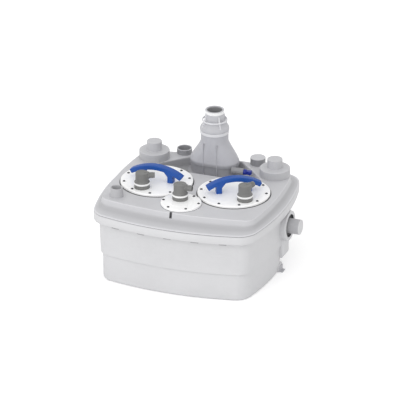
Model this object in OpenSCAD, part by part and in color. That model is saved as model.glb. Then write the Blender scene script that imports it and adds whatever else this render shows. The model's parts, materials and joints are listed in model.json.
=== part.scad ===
// Twin-pump lifting station for waste water: a floor tank whose two grinder pumps hang
// under round screwed covers with lifting handles. Level tubes with side nozzles pass
// through the covers. Closed stepped inlets, vents and a discharge collector with
// non-return flaps stand on the lid.
// Millimetres, +Z up, front towards -Y, origin on the floor under the middle of the rim.

/* [Tank plan] */
// Radius of the large pump covers
cover_r = 119; // [112:0.5:128]
// Gap between the two pump covers
cover_gap = 29; // [20:0.5:45]
// From a pump cover's edge to the rim at the side
side_margin = 51.5; // [46:0.5:70]
// Radius of the middle cover
mid_r = 66.5; // [60:0.5:74]
// Gap between the middle cover and each pump cover
mid_gap = 3.8; // [3:0.1:9]
// From the rim's front to the middle cover
front_margin = 70; // [60:0.5:85]
// From the pump covers' centre line back to the collector's centre
collector_reach = 184.7; // [178:0.1:200]
// From the collector's centre back to the rim
back_margin = 112.3; // [106:0.1:130]
// Radius of the bowed front and sides
bow_r = 926; // [700:1:1300]
// Radius of the flatter bow at the back
back_bow_r = 1400; // [1000:10:2000]
// Corner radius of the rim at the front
front_corner = 32; // [26:1:44]
// Corner radius of the rim at the back
back_corner = 62; // [50:1:72]

/* [Tub] */
// Height of the tub's rim above the floor
tub_h = 240; // [226:1:266]
// Height of the skirt under the rim
skirt_h = 28; // [20:0.5:34]
// How far the upper wall stands in from the rim
upper_inset = 17; // [13:0.5:21]
// Height of the step in the wall
step_z = 96; // [88:1:106]
// How far the back wall stands in from the rim above the step
back_inset = 35; // [28:0.5:42]
// How much further in the back wall stands below the step
back_step = 88; // [70:1:96]
// Wall thickness of the tub
tub_wall = 4.5; // [3.5:0.1:6]
// Thickness of the tub's floor
floor_t = 5; // [4:0.1:8]

/* [Lid] */
// Thickness of the lid's flange on the rim
flange_t = 2.5; // [2:0.1:5]
// Thickness of the gasket in the rim joint
gasket_t = 1.5; // [1:0.1:3]
// Radius of the cove above the flange
cove_r = 12; // [10:0.5:18]
// Height of the lid's rounded shoulder
shoulder_h = 22; // [18:0.5:30]
// How far the shoulder reaches in from the lid's wall to the deck
shoulder_w = 33; // [24:0.5:36]
// Wall thickness of the lid
lid_wall = 4.5; // [3.5:0.1:6]
// Depth of the pocket that the collector stands in
pocket_depth = 28; // [22:0.5:32]

/* [Covers] */
// Thickness of a cover
cover_t = 5.5; // [4:0.1:8]
// Thickness of a cover's seal
seal_t = 2.5; // [1.5:0.1:4]
// Width of the seal that shows round a pump cover
seal_lip = 3; // [2:0.1:3.4]
// Screws round a pump cover
cover_screw_count = 10; // [6:1:14]
// Screws round the middle cover
mid_screw_count = 6; // [4:1:8]
// Radius of a screw head
screw_head_r = 4; // [3:0.1:5]

/* [Handles] */
// Length of a handle from tail to tail
handle_len = 177; // [160:1:186]
// Height of a handle above its cover
handle_rise = 53; // [48:0.5:62]
// Thickness of the handle's strap
handle_t = 15; // [11:0.5:17]
// Width of the handle's strap
handle_w = 25; // [18:0.5:30]
// Distance between the middles of the handle's feet
foot_span = 100; // [90:1:110]
// Width of a handle's foot
foot_w = 18; // [14:0.5:22]

/* [Pipe ends] */
// Radius of the wide step of an inlet
inlet_big_r = 50; // [46:0.5:54]
// Radius of the narrow step of an inlet, and of a vent
inlet_small_r = 25; // [20:0.5:28]
// Height of an inlet's wide step above the deck
inlet_big_h = 28; // [20:0.5:40]
// Height of an inlet's narrow step
inlet_small_h = 31; // [24:0.5:45]
// Wall thickness of the pipe ends
pipe_wall = 3.5; // [2.5:0.1:5]
// How far a side inlet reaches out beyond the rim
side_reach = 35; // [28:0.5:50]
// Gap between the skirt and a side inlet's flange
side_drop = 4; // [1.5:0.5:12]
// Outer radius of the front port at the deck
port_r = 23; // [20:0.5:26]
// Bore radius of the front port
port_bore = 16; // [12:0.5:17.5]

/* [Level heads] */
// Radius of a level head's base
head_r = 25.5; // [22:0.5:28]
// Radius of a level head's body
head_body_r = 21.5; // [18:0.5:22.5]
// Height of a level head
head_h = 54; // [48:0.5:62]
// Radius of a head's side nozzle
nozzle_r = 9.5; // [7:0.5:11]
// Reach of a head's side nozzle from its axis
nozzle_reach = 42; // [36:0.5:50]
// Outer radius of a level tube
tube_r = 12; // [9:0.5:13]

/* [Collector] */
// Radius of the collector's rounded ends, and of its neck
collector_r = 46; // [43:0.5:50]
// Half the distance between the collector's rounded ends
collector_half = 37; // [33:0.5:41]
// Wall thickness of the collector
collector_wall = 4; // [3:0.1:5]
// Height of the collector's cone
cone_h = 66; // [50:1:85]
// Height of the collector's neck up to the outlet sleeve
neck_h = 28; // [20:1:38]
// Bore radius of the outlet
outlet_bore = 25.5; // [22:0.5:28]
// Height of the upper tube of the outlet sleeve
outlet_h = 33; // [26:1:45]

/* [Pumps] */
// Radius of a motor can
can_r = 60; // [54:0.5:61]
// Height of a motor can
can_h = 140; // [130:1:160]
// Height of a pump's volute
volute_h = 60; // [54:0.5:66]
// Radius of the motor shaft
shaft_r = 8; // [6:0.1:10]
// Outer radius of a riser pipe
riser_r = 18; // [15:0.5:20]
// Bore radius of a riser pipe
riser_bore = 14.5; // [11:0.5:15]

/* [Hidden] */
$fn = 64;

// Radial clearance of a turning shaft in its bore, and of a fixed piece in its hole
run_fit = 0.05;
slip_fit = 0.15;
// Radial clearance of a screw in its hole, and of a large plug in the tub's wall
screw_fit = 0.3;
plug_fit = 0.5;
// Gap that keeps a fitted band or tube off the faces at its ends
end_gap = 0.1;
// Small overlap that joins two shapes of one solid, or clears a cut's end
eps = 0.5;

// Plan of the tank, worked out from the covers
cover_x = cover_r + cover_gap / 2;
mid_drop = sqrt(pow(cover_r + mid_r + mid_gap, 2) - cover_x * cover_x);
tank_w = 2 * (cover_x + cover_r + side_margin);
tank_d = front_margin + mid_r + mid_drop + collector_reach + back_margin;
rim_front = -tank_d / 2;
rim_back = tank_d / 2;
mid_y = rim_front + front_margin + mid_r;
cover_y = mid_y + mid_drop;
collector_y = cover_y + collector_reach;

// Heights above the floor
flange_z = tub_h + gasket_t;
rim_z = flange_z + flange_t;
shoulder_z = rim_z + cove_r;
deck_z = shoulder_z + shoulder_h;
cover_z = deck_z + seal_t;
top_z = cover_z + cover_t;
pocket_z = deck_z - pocket_depth;

// Insets of the lid's wall and deck from the rim
rim_edge = 1;
lid_inset = rim_edge + cove_r;
deck_inset = lid_inset + shoulder_w;

// Insets of the tub's wall below the skirt: foot, lower wall, step and upper wall
foot_round = 6;
foot_tuck = 2;
upper_draft = 6;
step_ledge = 3;
lower_draft = 4.5;
step_inset = upper_inset + upper_draft;
lower_inset = step_inset + step_ledge;
foot_inset = lower_inset + lower_draft;
step_h = 4;
back_slope = 36;
skirt_wall = 4;
skirt_top = 6;
tub_corner_front = front_corner;
back_corner_grow = 33;
foot_corner_grow = 15;
tub_corner_back = back_corner + back_corner_grow;
foot_corner_back = tub_corner_back + foot_corner_grow;

// Places of the pipe ends on the lid
inlet_from_side = 94;
inlet_from_back = 113.8;
vent_from_side = 175.8;
vent_from_back = 49.6;
port_from_side = 86;
port_from_front = 122;
vent_left_h = 11.5;
vent_right_h = 17;
inlet_x = tank_w / 2 - inlet_from_side;
inlet_y = rim_back - inlet_from_back;
vent_x = tank_w / 2 - vent_from_side;
vent_y = rim_back - vent_from_back;
vent_left_z = top_z + vent_left_h;
vent_right_z = top_z + vent_right_h;
vent_foot = 2;
vent_foot_h = 1;
port_x = tank_w / 2 - port_from_side;
port_y = rim_front + port_from_front;
port_h = 31.5;
port_taper = 2.5;
inlet_cap = 4;
inlet_edge = 1.5;
spigot_root = 8;

// Place of the side inlets, their round pads and the flat blocks of the wall behind them
side_inlet_back = 73.5;
side_pad_edge = 1;
side_pad_in = 19;
side_inlet_y = cover_y + side_inlet_back;
side_inlet_z = tub_h - skirt_h - side_drop - inlet_big_r;
side_pad_r = inlet_big_r + side_pad_edge;
side_pad_x = tank_w / 2 - side_pad_in;
side_collar_t = 18;
side_hole_r = 40;
side_plug = 6;
block_back = 51.5;
block_x = side_pad_x - side_pad_edge;
block_y = cover_y + block_back;
block_w = 66;
block_z = 46;
block_root = 90;

// Floor brackets: an L of sheet with a peg in a pad of the tub's foot
bracket_from_back = 241.5;
bracket_y = rim_back - bracket_from_back;
bracket_w = 26;
bracket_t = 3;
bracket_h = 20;
bracket_tab = 12;
bracket_pad_proud = 3;
bracket_pad_edge = 3;
bracket_pad_x = tank_w / 2 - foot_inset + bracket_pad_proud;
bracket_pad_t = 20;
bracket_pad_w = bracket_w + 2 * bracket_pad_edge;
bracket_pad_h = bracket_h + 2 * bracket_pad_edge;
bracket_hole_r = 2.6;
peg_r = 4;
peg_len = 7;
peg_z = 13;

// Rim clips under the skirt
clip_len = 26;
clip_h = 4;
clip_gap = 1;
clip_in = 1.3;
clip_pitch = 92;
clip_places = [-2, -1, 0, 1, 2];

// Openings in the deck under the covers, and the plinths round them
cover_land = 19;
mid_land = 16.5;
cover_hole_r = cover_r - cover_land;
mid_hole_r = mid_r - mid_land;
seal_r = cover_r + seal_lip;
plinth = 1;
boss_depth = 12;
boss_w = 15;
cover_screw_in = 11.5;
mid_screw_in = 7.5;
cover_screw_r = cover_r - cover_screw_in;
mid_screw_r = mid_r - mid_screw_in;
screw_r = 2;
screw_head_h = 2.4;
screw_len = 16;
thread_fit = 0.1;
cover_edge = 2;
seal_rise = 2;
screw_phase_left = 26;
screw_phase_right = 11;
screw_phase_mid = 5;

// Short groove in the deck in front of the middle cover
slot_w = 8;
slot_len = 46;
slot_depth = 2.5;
slot_turn = 17.5;
slot_x = -1;
slot_from_front = 48;

// Level heads: places on the covers and heights above them
head_stub_h = 12;
band_h = 8;
band_proud = 0.6;
head_flare_h = 6;
head_round = 5;
head_groove = 1;
nozzle_z = 43;
nozzle_wall = 2.5;
nozzle_collar = 2.5;
nozzle_collar_out = 1.5;
nozzle_collar_end = head_body_r + nozzle_collar_out;
nozzle_bore = nozzle_r - nozzle_wall;
tube_wall = 2;
tube_bore = tube_r - tube_wall;
head_bore = tube_r + slip_fit;
tube_top = 30;
level_gap = 4.5;
level_r = can_r + tube_r + level_gap;
level_angle_left = 251;
level_angle_right = -42;
level_angle_mid = 118;
level_r_mid = 21.5;
nozzle_angle_left = 22;
nozzle_angle_right = 70;
nozzle_angle_mid = 0;
level_tube_z = 70;
alarm_tube_z = 130;

// Handles: arc of the strap through its top and its tails
right_handle_turn = 32;
left_handle_turn = -2;
tail_rise = 19.5;
foot_gusset = 12;
strap_sag = handle_rise - handle_t / 2 - tail_rise;
strap_half = handle_len / 2;
strap_r = (strap_half * strap_half + strap_sag * strap_sag) / (2 * strap_sag);
strap_angle = asin(strap_half / strap_r);
strap_centre_z = handle_rise - handle_t / 2 - strap_r;
stud_r = 4;
stud_up = 20;
stud_down = 7;
stud_room = 1;

// Collector's stack of seal, valve seat, flange, skirt, lip and cone
collector_seal_t = 1.5;
valve_seat_t = 3.5;
seat_z = pocket_z + collector_seal_t;
flange_base = seat_z + valve_seat_t;
collector_flange_t = 6;
collector_flange = 8;
skirt_in = 3;
lip_rise = 5;
lip_z = top_z + lip_rise;
lip_h = 15;
cone_z = lip_z + lip_h;
neck_z = cone_z + cone_h;
sleeve_z = neck_z + neck_h;
neck_in = 0.5;
neck_r = collector_r - neck_in;
loft_slice = 0.1;
rib_x = 23.3;
rib_t = 1.8;
rib_proud = 1;
rib_root = 10;
collector_bolt_r = 2.5;
collector_head_r = 4.5;
collector_head_h = 3;
bolt_fit = 0.2;
collector_bolt_x = [-30, 0, 30];
collector_bolt_in = 4;

// Outlet sleeve: skirt over the neck, bulge, step ring and upper tube
sleeve_wall = 3;
sleeve_lap = 22;
clamp_h = 10.5;
clamp_proud = 1.6;
bulge_h = 16;
taper_h = 17;
bulge_proud = 2;
taper_in = 4;
bulge_r = collector_r + bulge_proud;
taper_r = collector_r - taper_in;
step_ring_h = 4;
outlet_wall = 5.5;
outlet_r = outlet_bore + outlet_wall;
outlet_z = sleeve_z + clamp_h + bulge_h + taper_h + step_ring_h;
mouth_z = outlet_z + outlet_h;
band_top_h = 11;
band_groove = 1;
mouth_lip = 1;
ring_proud = 2;
fin_t = 3;
fin_root = 2;
fin_drop = 4;

// Pump stack, hung from the cover
can_bottom = cover_z - can_h;
volute_bottom = can_bottom - volute_h;
can_wall = 4;
can_top_t = 10;
can_floor_t = 14;
bearing_r = 17.5;
bearing_h = 12;
bearing_wall = 6;
stator_r = can_r - can_wall - slip_fit;
air_gap = 0.6;
rotor_r = 30;
core_h = 60;
ledge_in = 5;
core_lift = 44;
core_z = can_bottom + core_lift;
shaft_seal_r = 13;
volute_plate = 8;
volute_wall = 8;
volute_eye_r = 26;
volute_run = 2;
outlet_lift = 30;
outlet_wrap = 4;
outlet_lap = 8;
impeller_gap = 3;
impeller_r = can_r - volute_wall - impeller_gap;
impeller_plate = 5;
hub_r = 15;
vane_t = 5;
vane_count = 6;
vane_sweep = 0.7;
vane_lap = 1;
cutter_t = 8;
cutter_r = 42;
cutter_bore = 22;
cutter_slots = 8;
slot_cut_w = 6;
slot_cut_len = 16;
slot_cut_out = 7;
blade_gap = 0.6;
blade_h = 9;
blade_r = 34;
blade_w = 11;
blade_thin = 2;
blade_count = 3;
shaft_room = 0.5;
riser_x = 36;
riser_run = [riser_x - cover_x, collector_y - cover_y];
riser_len = norm(riser_run);
riser_angle = atan2(riser_run[1], riser_run[0]);
riser_z = volute_bottom + outlet_lift;
riser_out = 10;
riser_socket = can_r + riser_out;
elbow_proud = 2;

// Non-return flaps on the valve seat
flap_lap = 5;
flap_r = riser_bore + flap_lap;
flap_t = 4;
flap_lift = 0.3;
pin_r = 2;
flap_reach = 8;
flap_arm = flap_r + flap_reach;
flap_pin_y = collector_y + flap_arm;
pin_rise = 6;
pin_lap = 1;
flap_pin_z = flange_base + pin_rise;
barrel_r = 4;
barrel_half = 9;
lug_t = 4;
lug_gap = 0.4;
arm_in = 2;
arm_lap = 1;

// Drain cock: a plug turned by a knob in a boss on the collector's right
cock_front = 27;
cock_drop = 1;
cock_y = collector_y - cock_front;
cock_z = top_z - cock_drop;
cock_boss_r = 11;
cock_reach = 28;
cock_lap = 2;
cock_boss_end = collector_half + collector_r + cock_reach;
plug_r = 6;
plug_len = 34;
drain_r = 3;
knob_r = 9.5;
knob_len = 27;
knob_gap = 0.3;
wing_t = 5;
knob_dip_r = 12;
knob_dip = 2;

// Colours
tub_colour = [0.86, 0.86, 0.87];
lid_colour = [0.74, 0.74, 0.76];
white_colour = [0.95, 0.95, 0.95];
seal_colour = [0.15, 0.15, 0.16];
blue_colour = [0.17, 0.36, 0.68];
knob_colour = [0.12, 0.18, 0.55];
head_colour = [0.45, 0.45, 0.45];
steel_colour = [0.62, 0.63, 0.65];
iron_colour = [0.35, 0.36, 0.38];
copper_colour = [0.70, 0.45, 0.30];

// Depth of the bow at a distance from the middle of an edge
function bow(t, r = bow_r) = r - sqrt(r * r - t * t);
function back_bow(t) = bow(t, back_bow_r);

// Point of a round corner from a to c whose sharp corner is b
function corner_point(a, b, c, t) =
    let (w = sqrt(2) * t * (1 - t), s = (1 - t) * (1 - t) + w + t * t)
    ((1 - t) * (1 - t) * a + w * b + t * t * c) / s;

front_steps = 4;
corner_steps = 5;
side_steps = 4;
back_steps = 3;

// Right half of the bowed outline, from the middle of the front to that of the back
function half_outline(inset, back, rf, rb) =
    let (
        hw = tank_w / 2 - inset,
        yf = rim_front + inset,
        yb = rim_back - back,
        fy = yf + bow(hw - rf / 2),
        by = yb - back_bow(hw - rb / 2),
        fx = hw - bow(fy),
        bx = hw - bow(by),
        f1 = [fx - rf, yf + bow(fx - rf)],
        f2 = [hw - bow(fy + rf), fy + rf],
        b1 = [hw - bow(by - rb), by - rb],
        b2 = [bx - rb, yb - back_bow(bx - rb)]
    )
    concat(
        [for (k = [0:front_steps - 1]) let (x = f1[0] * k / front_steps) [x, yf + bow(x)]],
        [for (k = [0:corner_steps]) corner_point(f1, [fx, fy], f2, k / corner_steps)],
        [for (k = [1:side_steps - 1])
            let (y = f2[1] + (b1[1] - f2[1]) * k / side_steps) [hw - bow(y), y]],
        [for (k = [0:corner_steps]) corner_point(b1, [bx, by], b2, k / corner_steps)],
        [for (k = [back_steps - 1:-1:0]) let (x = b2[0] * k / back_steps) [x, yb - back_bow(x)]]
    );

// Whole outline, counter-clockwise from the middle of the front
function outline(inset, back, rf, rb) =
    let (half = half_outline(inset, back, rf, rb), n = len(half))
    concat(half, [for (k = [n - 2:-1:1]) [-half[k][0], half[k][1]]]);

function rim_outline(inset) = outline(inset, inset, front_corner, back_corner);

// Ring of the outline at height z
function ring(z, inset, back, rf, rb) = [for (p = outline(inset, back, rf, rb)) [p[0], p[1], z]];
function rim_ring(z, inset) = [for (p = rim_outline(inset)) [p[0], p[1], z]];

// Solid through a stack of rings, given from the lowest to the highest
module loft(rings) {
    n = len(rings[0]);
    last = (len(rings) - 1) * n;
    polyhedron(
        points = [for (r = rings) each r],
        faces = concat(
            [[for (k = [0:n - 1]) k]],
            [[for (k = [n - 1:-1:0]) last + k]],
            [for (j = [0:len(rings) - 2], k = [0:n - 1], upper = [true, false])
                let (a = j * n + k, b = j * n + (k + 1) % n)
                upper ? [a, a + n, b + n] : [a, b + n, b]]
        ),
        convexity = 8
    );
}

// Ring-shaped piece with its axis on Z
module tube(outer, inner, h) {
    difference() {
        cylinder(r = outer, h = h);
        translate([0, 0, -eps]) cylinder(r = inner, h = h + 2 * eps);
    }
}

// Slab with round ends along X
module stadium(r, half, h) {
    linear_extrude(h) {
        for (s = [-1, 1]) translate([s * half, 0]) circle(r);
        square([2 * half, 2 * r], center = true);
    }
}

// Children at one pump's axis on the floor
module at_pump(side) {
    translate([side * cover_x, cover_y, 0]) children();
}

// Children repeated round a circle
module around(count, r, phase = 0) {
    for (k = [0:count - 1]) rotate(phase + k * 360 / count) translate([r, 0, 0]) children();
}

// Children at a cover's screw places, on the floor
module at_cover_screws() {
    at_pump(-1) around(cover_screw_count, cover_screw_r, screw_phase_left) children();
    at_pump(1) around(cover_screw_count, cover_screw_r, screw_phase_right) children();
    translate([0, mid_y, 0]) around(mid_screw_count, mid_screw_r, screw_phase_mid) children();
}

// Place of a level head on its cover
function level_place(angle, r) = [r * cos(angle), r * sin(angle), 0];
module at_level(which) {
    if (which == "left") at_pump(-1) translate(level_place(level_angle_left, level_r)) children();
    if (which == "right") at_pump(1) translate(level_place(level_angle_right, level_r)) children();
    if (which == "middle") translate([0, mid_y, 0])
        translate(level_place(level_angle_mid, level_r_mid)) children();
}

// Rings of the tub, outside or moved in by a wall
function tub_rings(w) = [
    ring(foot_round, foot_inset + w, back_inset + back_step + foot_tuck + w,
        tub_corner_front, foot_corner_back),
    ring(step_z - back_slope, (lower_inset * 3 + foot_inset) / 4 + w, back_inset + back_step + w,
        tub_corner_front, foot_corner_back),
    ring(step_z - step_h, lower_inset + w, back_inset + back_step / 6 + w,
        tub_corner_front, tub_corner_back),
    ring(step_z, step_inset + w, back_inset + foot_tuck + w, tub_corner_front, tub_corner_back),
    ring(tub_h - skirt_h, upper_inset + w, back_inset + w, tub_corner_front, tub_corner_back)
];

// Channel between the skirt's lip and the wall, open at the bottom
module skirt_channel() {
    difference() {
        loft([rim_ring(tub_h - skirt_h - eps, skirt_wall), rim_ring(tub_h - skirt_top, skirt_wall)]);
        loft([
            ring(tub_h - skirt_h - 2 * eps, upper_inset, back_inset, tub_corner_front, tub_corner_back),
            ring(tub_h, upper_inset, back_inset, tub_corner_front, tub_corner_back)
        ]);
        for (s = [-1, 1])
            translate([s * (block_x - block_root / 2), block_y + block_w / 2, tub_h - skirt_h])
                cube([block_root, block_w, 2 * skirt_h], center = true);
    }
}

module tub() {
    block_top = tub_h - skirt_top;
    foot_back = back_inset + back_step;
    color(tub_colour)
    difference() {
        union() {
            loft(concat(
                [
                    ring(0, foot_inset + foot_round, foot_back + foot_round,
                        tub_corner_front, foot_corner_back),
                    ring(foot_round / 4, foot_inset + foot_round / 3, foot_back + foot_round / 2,
                        tub_corner_front, foot_corner_back)
                ],
                tub_rings(0),
                [rim_ring(tub_h - skirt_h, 0), rim_ring(tub_h, 0)]
            ));
            for (s = [-1, 1]) {
                translate([s * side_pad_x, side_inlet_y, side_inlet_z])
                    rotate([0, -s * 90, 0]) cylinder(r = side_pad_r, h = block_root / 2);
                translate([s * (block_x - block_root / 2), block_y + block_w / 2, (block_z + block_top) / 2])
                    cube([block_root, block_w, block_top - block_z], center = true);
                translate([s * (bracket_pad_x - bracket_pad_t / 2), bracket_y, bracket_pad_h / 2])
                    cube([bracket_pad_t, bracket_pad_w, bracket_pad_h], center = true);
            }
        }
        skirt_channel();
        loft(concat(
            [ring(floor_t, foot_inset + foot_round + tub_wall, foot_back + foot_round + tub_wall,
                tub_corner_front, foot_corner_back)],
            tub_rings(tub_wall),
            [ring(tub_h + eps, upper_inset + tub_wall, back_inset + tub_wall,
                tub_corner_front, tub_corner_back)]
        ));
        for (s = [-1, 1]) {
            translate([s * side_pad_x, side_inlet_y, side_inlet_z]) rotate([0, -s * 90, 0])
                translate([0, 0, -eps]) cylinder(r = side_hole_r, h = block_root);
            translate([s * side_pad_x, side_inlet_y, side_inlet_z])
                rotate([0, s * 90, 0]) cylinder(r = side_pad_r, h = side_collar_t);
            translate([s * (block_x - tub_wall - block_root / 2), block_y + block_w / 2,
                (block_z + step_z) / 2 + tub_wall])
                cube([block_root, block_w - 2 * tub_wall, step_z - block_z], center = true);
            translate([s * bracket_pad_x, bracket_y, peg_z]) rotate([0, -s * 90, 0])
                translate([0, 0, -eps]) cylinder(r = peg_r + slip_fit, h = peg_len + 2 * eps);
        }
    }
}

// Outline of the collector's pocket, grown by a wall
pocket_room = 4;
pocket_front_reach = 76;
pocket_corner_y = 19;
pocket_mid_y = cover_y + seal_r + pocket_room;
pocket_front = collector_y - pocket_front_reach;
pocket_back = collector_y + collector_r + collector_flange + pocket_room;
pocket_half = [64, 110, 185, 116, 74];
function pocket_side(g) = [
    [pocket_half[0] + g, pocket_front - g],
    [pocket_half[1] + g, pocket_mid_y - g],
    [pocket_half[2] + 2 * g, pocket_mid_y + pocket_room - g],
    [pocket_half[3] + g, collector_y + pocket_corner_y + g],
    [pocket_half[4] + g, pocket_back + g]
];
function pocket_outline(g) =
    let (p = pocket_side(g), n = len(p))
    concat(p, [for (k = [n - 1:-1:0]) [-p[k][0], p[k][1]]]);

// Rings of the lid's cove and shoulder, outside or moved in by a wall
cove_steps = 3;
shoulder_steps = 5;
function shoulder_rings(w, steps) = [
    for (k = [0:steps])
        let (a = 90 * k / steps)
        rim_ring(shoulder_z + (shoulder_h - w) * sin(a), deck_inset - (shoulder_w - w) * cos(a))
];

module lid_shell() {
    difference() {
        loft(concat(
            [rim_ring(flange_z, 0), rim_ring(rim_z - rim_edge, 0), rim_ring(rim_z, rim_edge)],
            [for (k = [1:cove_steps - 1])
                let (a = 90 * k / cove_steps)
                rim_ring(shoulder_z - cove_r * cos(a), rim_edge + cove_r * sin(a))],
            shoulder_rings(0, shoulder_steps)
        ));
        loft(concat(
            [rim_ring(flange_z - eps, upper_inset + tub_wall), rim_ring(rim_z, upper_inset + tub_wall)],
            shoulder_rings(lid_wall, 3)
        ));
    }
}

// Closed stepped pipe end, from z = 0 upwards, with its hollow below
module stepped_end(low, big_h, small_h) {
    translate([0, 0, low]) rotate_extrude() polygon([
        [0, 0], [inlet_big_r, 0],
        [inlet_big_r, big_h - low - inlet_edge], [inlet_big_r - inlet_edge, big_h - low],
        [inlet_small_r, big_h - low], [inlet_small_r, big_h + small_h - low - inlet_edge],
        [inlet_small_r - inlet_edge, big_h + small_h - low], [0, big_h + small_h - low]
    ]);
}
module stepped_hollow(low, big_h, small_h) {
    translate([0, 0, low]) cylinder(r = inlet_big_r - pipe_wall, h = big_h - low - inlet_cap);
    translate([0, 0, low]) cylinder(r = inlet_small_r - pipe_wall, h = big_h + small_h - low - inlet_cap);
}

// Bosses under the covers and the walls of the collector's pocket
module lid_bosses() {
    for (s = [-1, 1]) at_pump(s) {
        translate([0, 0, deck_z - boss_depth]) cylinder(r = cover_hole_r + boss_w, h = boss_depth);
        translate([0, 0, deck_z - boss_depth / 2]) cylinder(r = seal_r + plinth, h = boss_depth / 2);
    }
    translate([0, mid_y, deck_z - boss_depth]) cylinder(r = mid_hole_r + boss_w, h = boss_depth);
    translate([-port_x, port_y, deck_z - boss_depth]) cylinder(r = port_r, h = boss_depth);
    translate([0, 0, pocket_z - lid_wall])
        linear_extrude(pocket_depth + lid_wall - eps) polygon(pocket_outline(lid_wall));
}

// Groove with round ends that runs from the middle cover over the shoulder
module front_slot() {
    translate([slot_x, rim_front + slot_from_front, deck_z - slot_depth]) rotate(slot_turn)
        linear_extrude(shoulder_h) {
            square([slot_w, slot_len - slot_w], center = true);
            for (s = [-1, 1]) translate([0, s * (slot_len - slot_w) / 2]) circle(slot_w / 2);
        }
}

module lid() {
    spigot_low = shoulder_z - spigot_root - deck_z;
    below = 2 * lid_wall;
    color(lid_colour)
    difference() {
        union() {
            lid_shell();
            intersection() {
                loft([rim_ring(flange_z, cove_r), rim_ring(deck_z, cove_r)]);
                lid_bosses();
            }
            for (s = [-1, 1]) translate([s * inlet_x, inlet_y, deck_z])
                stepped_end(spigot_low, inlet_big_h, inlet_small_h);
            translate([-vent_x, vent_y, shoulder_z])
                cylinder(r = inlet_small_r + vent_foot, h = shoulder_h);
            translate([vent_x, vent_y, shoulder_z])
                cylinder(r = inlet_small_r + vent_foot, h = shoulder_h + vent_foot_h);
            translate([vent_x, vent_y, shoulder_z])
                cylinder(r = inlet_small_r, h = vent_right_z - shoulder_z);
        }
        front_slot();
        for (s = [-1, 1]) {
            translate([s * inlet_x, inlet_y, deck_z])
                stepped_hollow(spigot_low - eps, inlet_big_h, inlet_small_h);
            at_pump(s) translate([0, 0, flange_z]) cylinder(r = cover_hole_r, h = deck_z);
        }
        translate([0, mid_y, flange_z]) cylinder(r = mid_hole_r, h = deck_z);
        translate([-vent_x, vent_y, shoulder_z - eps])
            cylinder(r = inlet_small_r - pipe_wall, h = vent_left_z);
        translate([vent_x, vent_y, shoulder_z - eps])
            cylinder(r = inlet_small_r - pipe_wall, h = vent_right_z - shoulder_z - inlet_cap);
        translate([-port_x, port_y, deck_z - boss_depth - eps]) cylinder(r = port_bore, h = deck_z);
        translate([0, 0, pocket_z]) linear_extrude(deck_z) polygon(pocket_outline(0));
        for (s = [-1, 1]) translate([s * riser_x, collector_y, pocket_z - below])
            cylinder(r = riser_r + slip_fit, h = below + lid_wall);
        at_cover_screws() translate([0, 0, top_z - screw_len - eps])
            cylinder(r = screw_r + thread_fit, h = screw_len);
        translate([0, collector_y, pocket_z - below])
            collector_bolt_holes(collector_bolt_r + thread_fit, below + lid_wall);
    }
}

// The two open pipe ends on the deck: the left vent and the tapered front port
module open_pipes() {
    color(lid_colour) {
        translate([-vent_x, vent_y, deck_z]) difference() {
            union() {
                cylinder(r = inlet_small_r + vent_foot, h = vent_foot_h);
                cylinder(r = inlet_small_r, h = vent_left_z - deck_z);
            }
            translate([0, 0, -eps]) cylinder(r = inlet_small_r - pipe_wall, h = vent_left_z);
        }
        translate([-port_x, port_y, deck_z]) difference() {
            cylinder(r1 = port_r, r2 = port_r - port_taper, h = port_h);
            translate([0, 0, -eps]) cylinder(r = port_bore, h = port_h + 2 * eps);
        }
    }
}

module rim_gasket() {
    color(seal_colour) translate([0, 0, tub_h]) linear_extrude(gasket_t) difference() {
        polygon(rim_outline(rim_edge));
        polygon(rim_outline(upper_inset - rim_edge));
    }
}

// One clip, its outer face at y = 0 and its top at z = 0
module rim_clip() {
    depth = upper_inset - 2 * clip_gap;
    translate([-clip_len / 2, 0, -clip_h]) cube([clip_len, depth, clip_h]);
}
module rim_clips() {
    color(seal_colour) translate([0, 0, tub_h - skirt_h]) for (k = clip_places) {
        x = k * clip_pitch;
        translate([x, rim_front + bow(x) + clip_in, 0]) rotate(asin(x / bow_r)) rim_clip();
        translate([x, rim_back - back_bow(x) - clip_in, 0])
            rotate(180 - asin(x / back_bow_r)) rim_clip();
    }
}

module side_inlet(side) {
    reach = tank_w / 2 + side_reach - side_pad_x;
    color(lid_colour)
    translate([side * side_pad_x, side_inlet_y, side_inlet_z]) rotate([0, side * 90, 0])
    difference() {
        union() {
            stepped_end(end_gap, side_collar_t, reach - side_collar_t);
            translate([0, 0, -side_plug]) cylinder(r = side_hole_r - plug_fit, h = side_plug + eps);
        }
        translate([0, 0, -side_plug - eps])
            cylinder(r = side_hole_r - plug_fit - pipe_wall, h = side_plug + side_collar_t - inlet_cap);
        translate([0, 0, -side_plug])
            cylinder(r = inlet_small_r - pipe_wall, h = side_plug + reach - inlet_cap);
    }
}

module floor_bracket(side) {
    color(iron_colour)
    translate([side * bracket_pad_x, bracket_y, 0]) mirror([side < 0 ? 1 : 0, 0, 0])
    difference() {
        union() {
            translate([0, -bracket_w / 2, 0]) cube([bracket_t, bracket_w, bracket_h]);
            translate([0, -bracket_w / 2, 0]) cube([bracket_tab, bracket_w, bracket_t]);
            translate([-peg_len, 0, peg_z]) rotate([0, 90, 0]) cylinder(r = peg_r, h = peg_len + eps);
        }
        translate([(bracket_tab + bracket_t) / 2, 0, -eps])
            cylinder(r = bracket_hole_r, h = bracket_t + 2 * eps);
    }
}

// Disc of a cover with a rounded upper edge
module cover_disc(r) {
    rotate_extrude() {
        square([r - cover_edge, cover_t]);
        square([r, cover_t - cover_edge]);
        intersection() {
            translate([r - cover_edge, cover_t - cover_edge]) circle(cover_edge);
            square([r, cover_t]);
        }
    }
}

// Clearance hole of a cover's screw, from just below z = 0
module screw_hole(h) {
    translate([0, 0, -eps]) cylinder(r = screw_r + screw_fit, h = h + 2 * eps);
}

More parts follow.
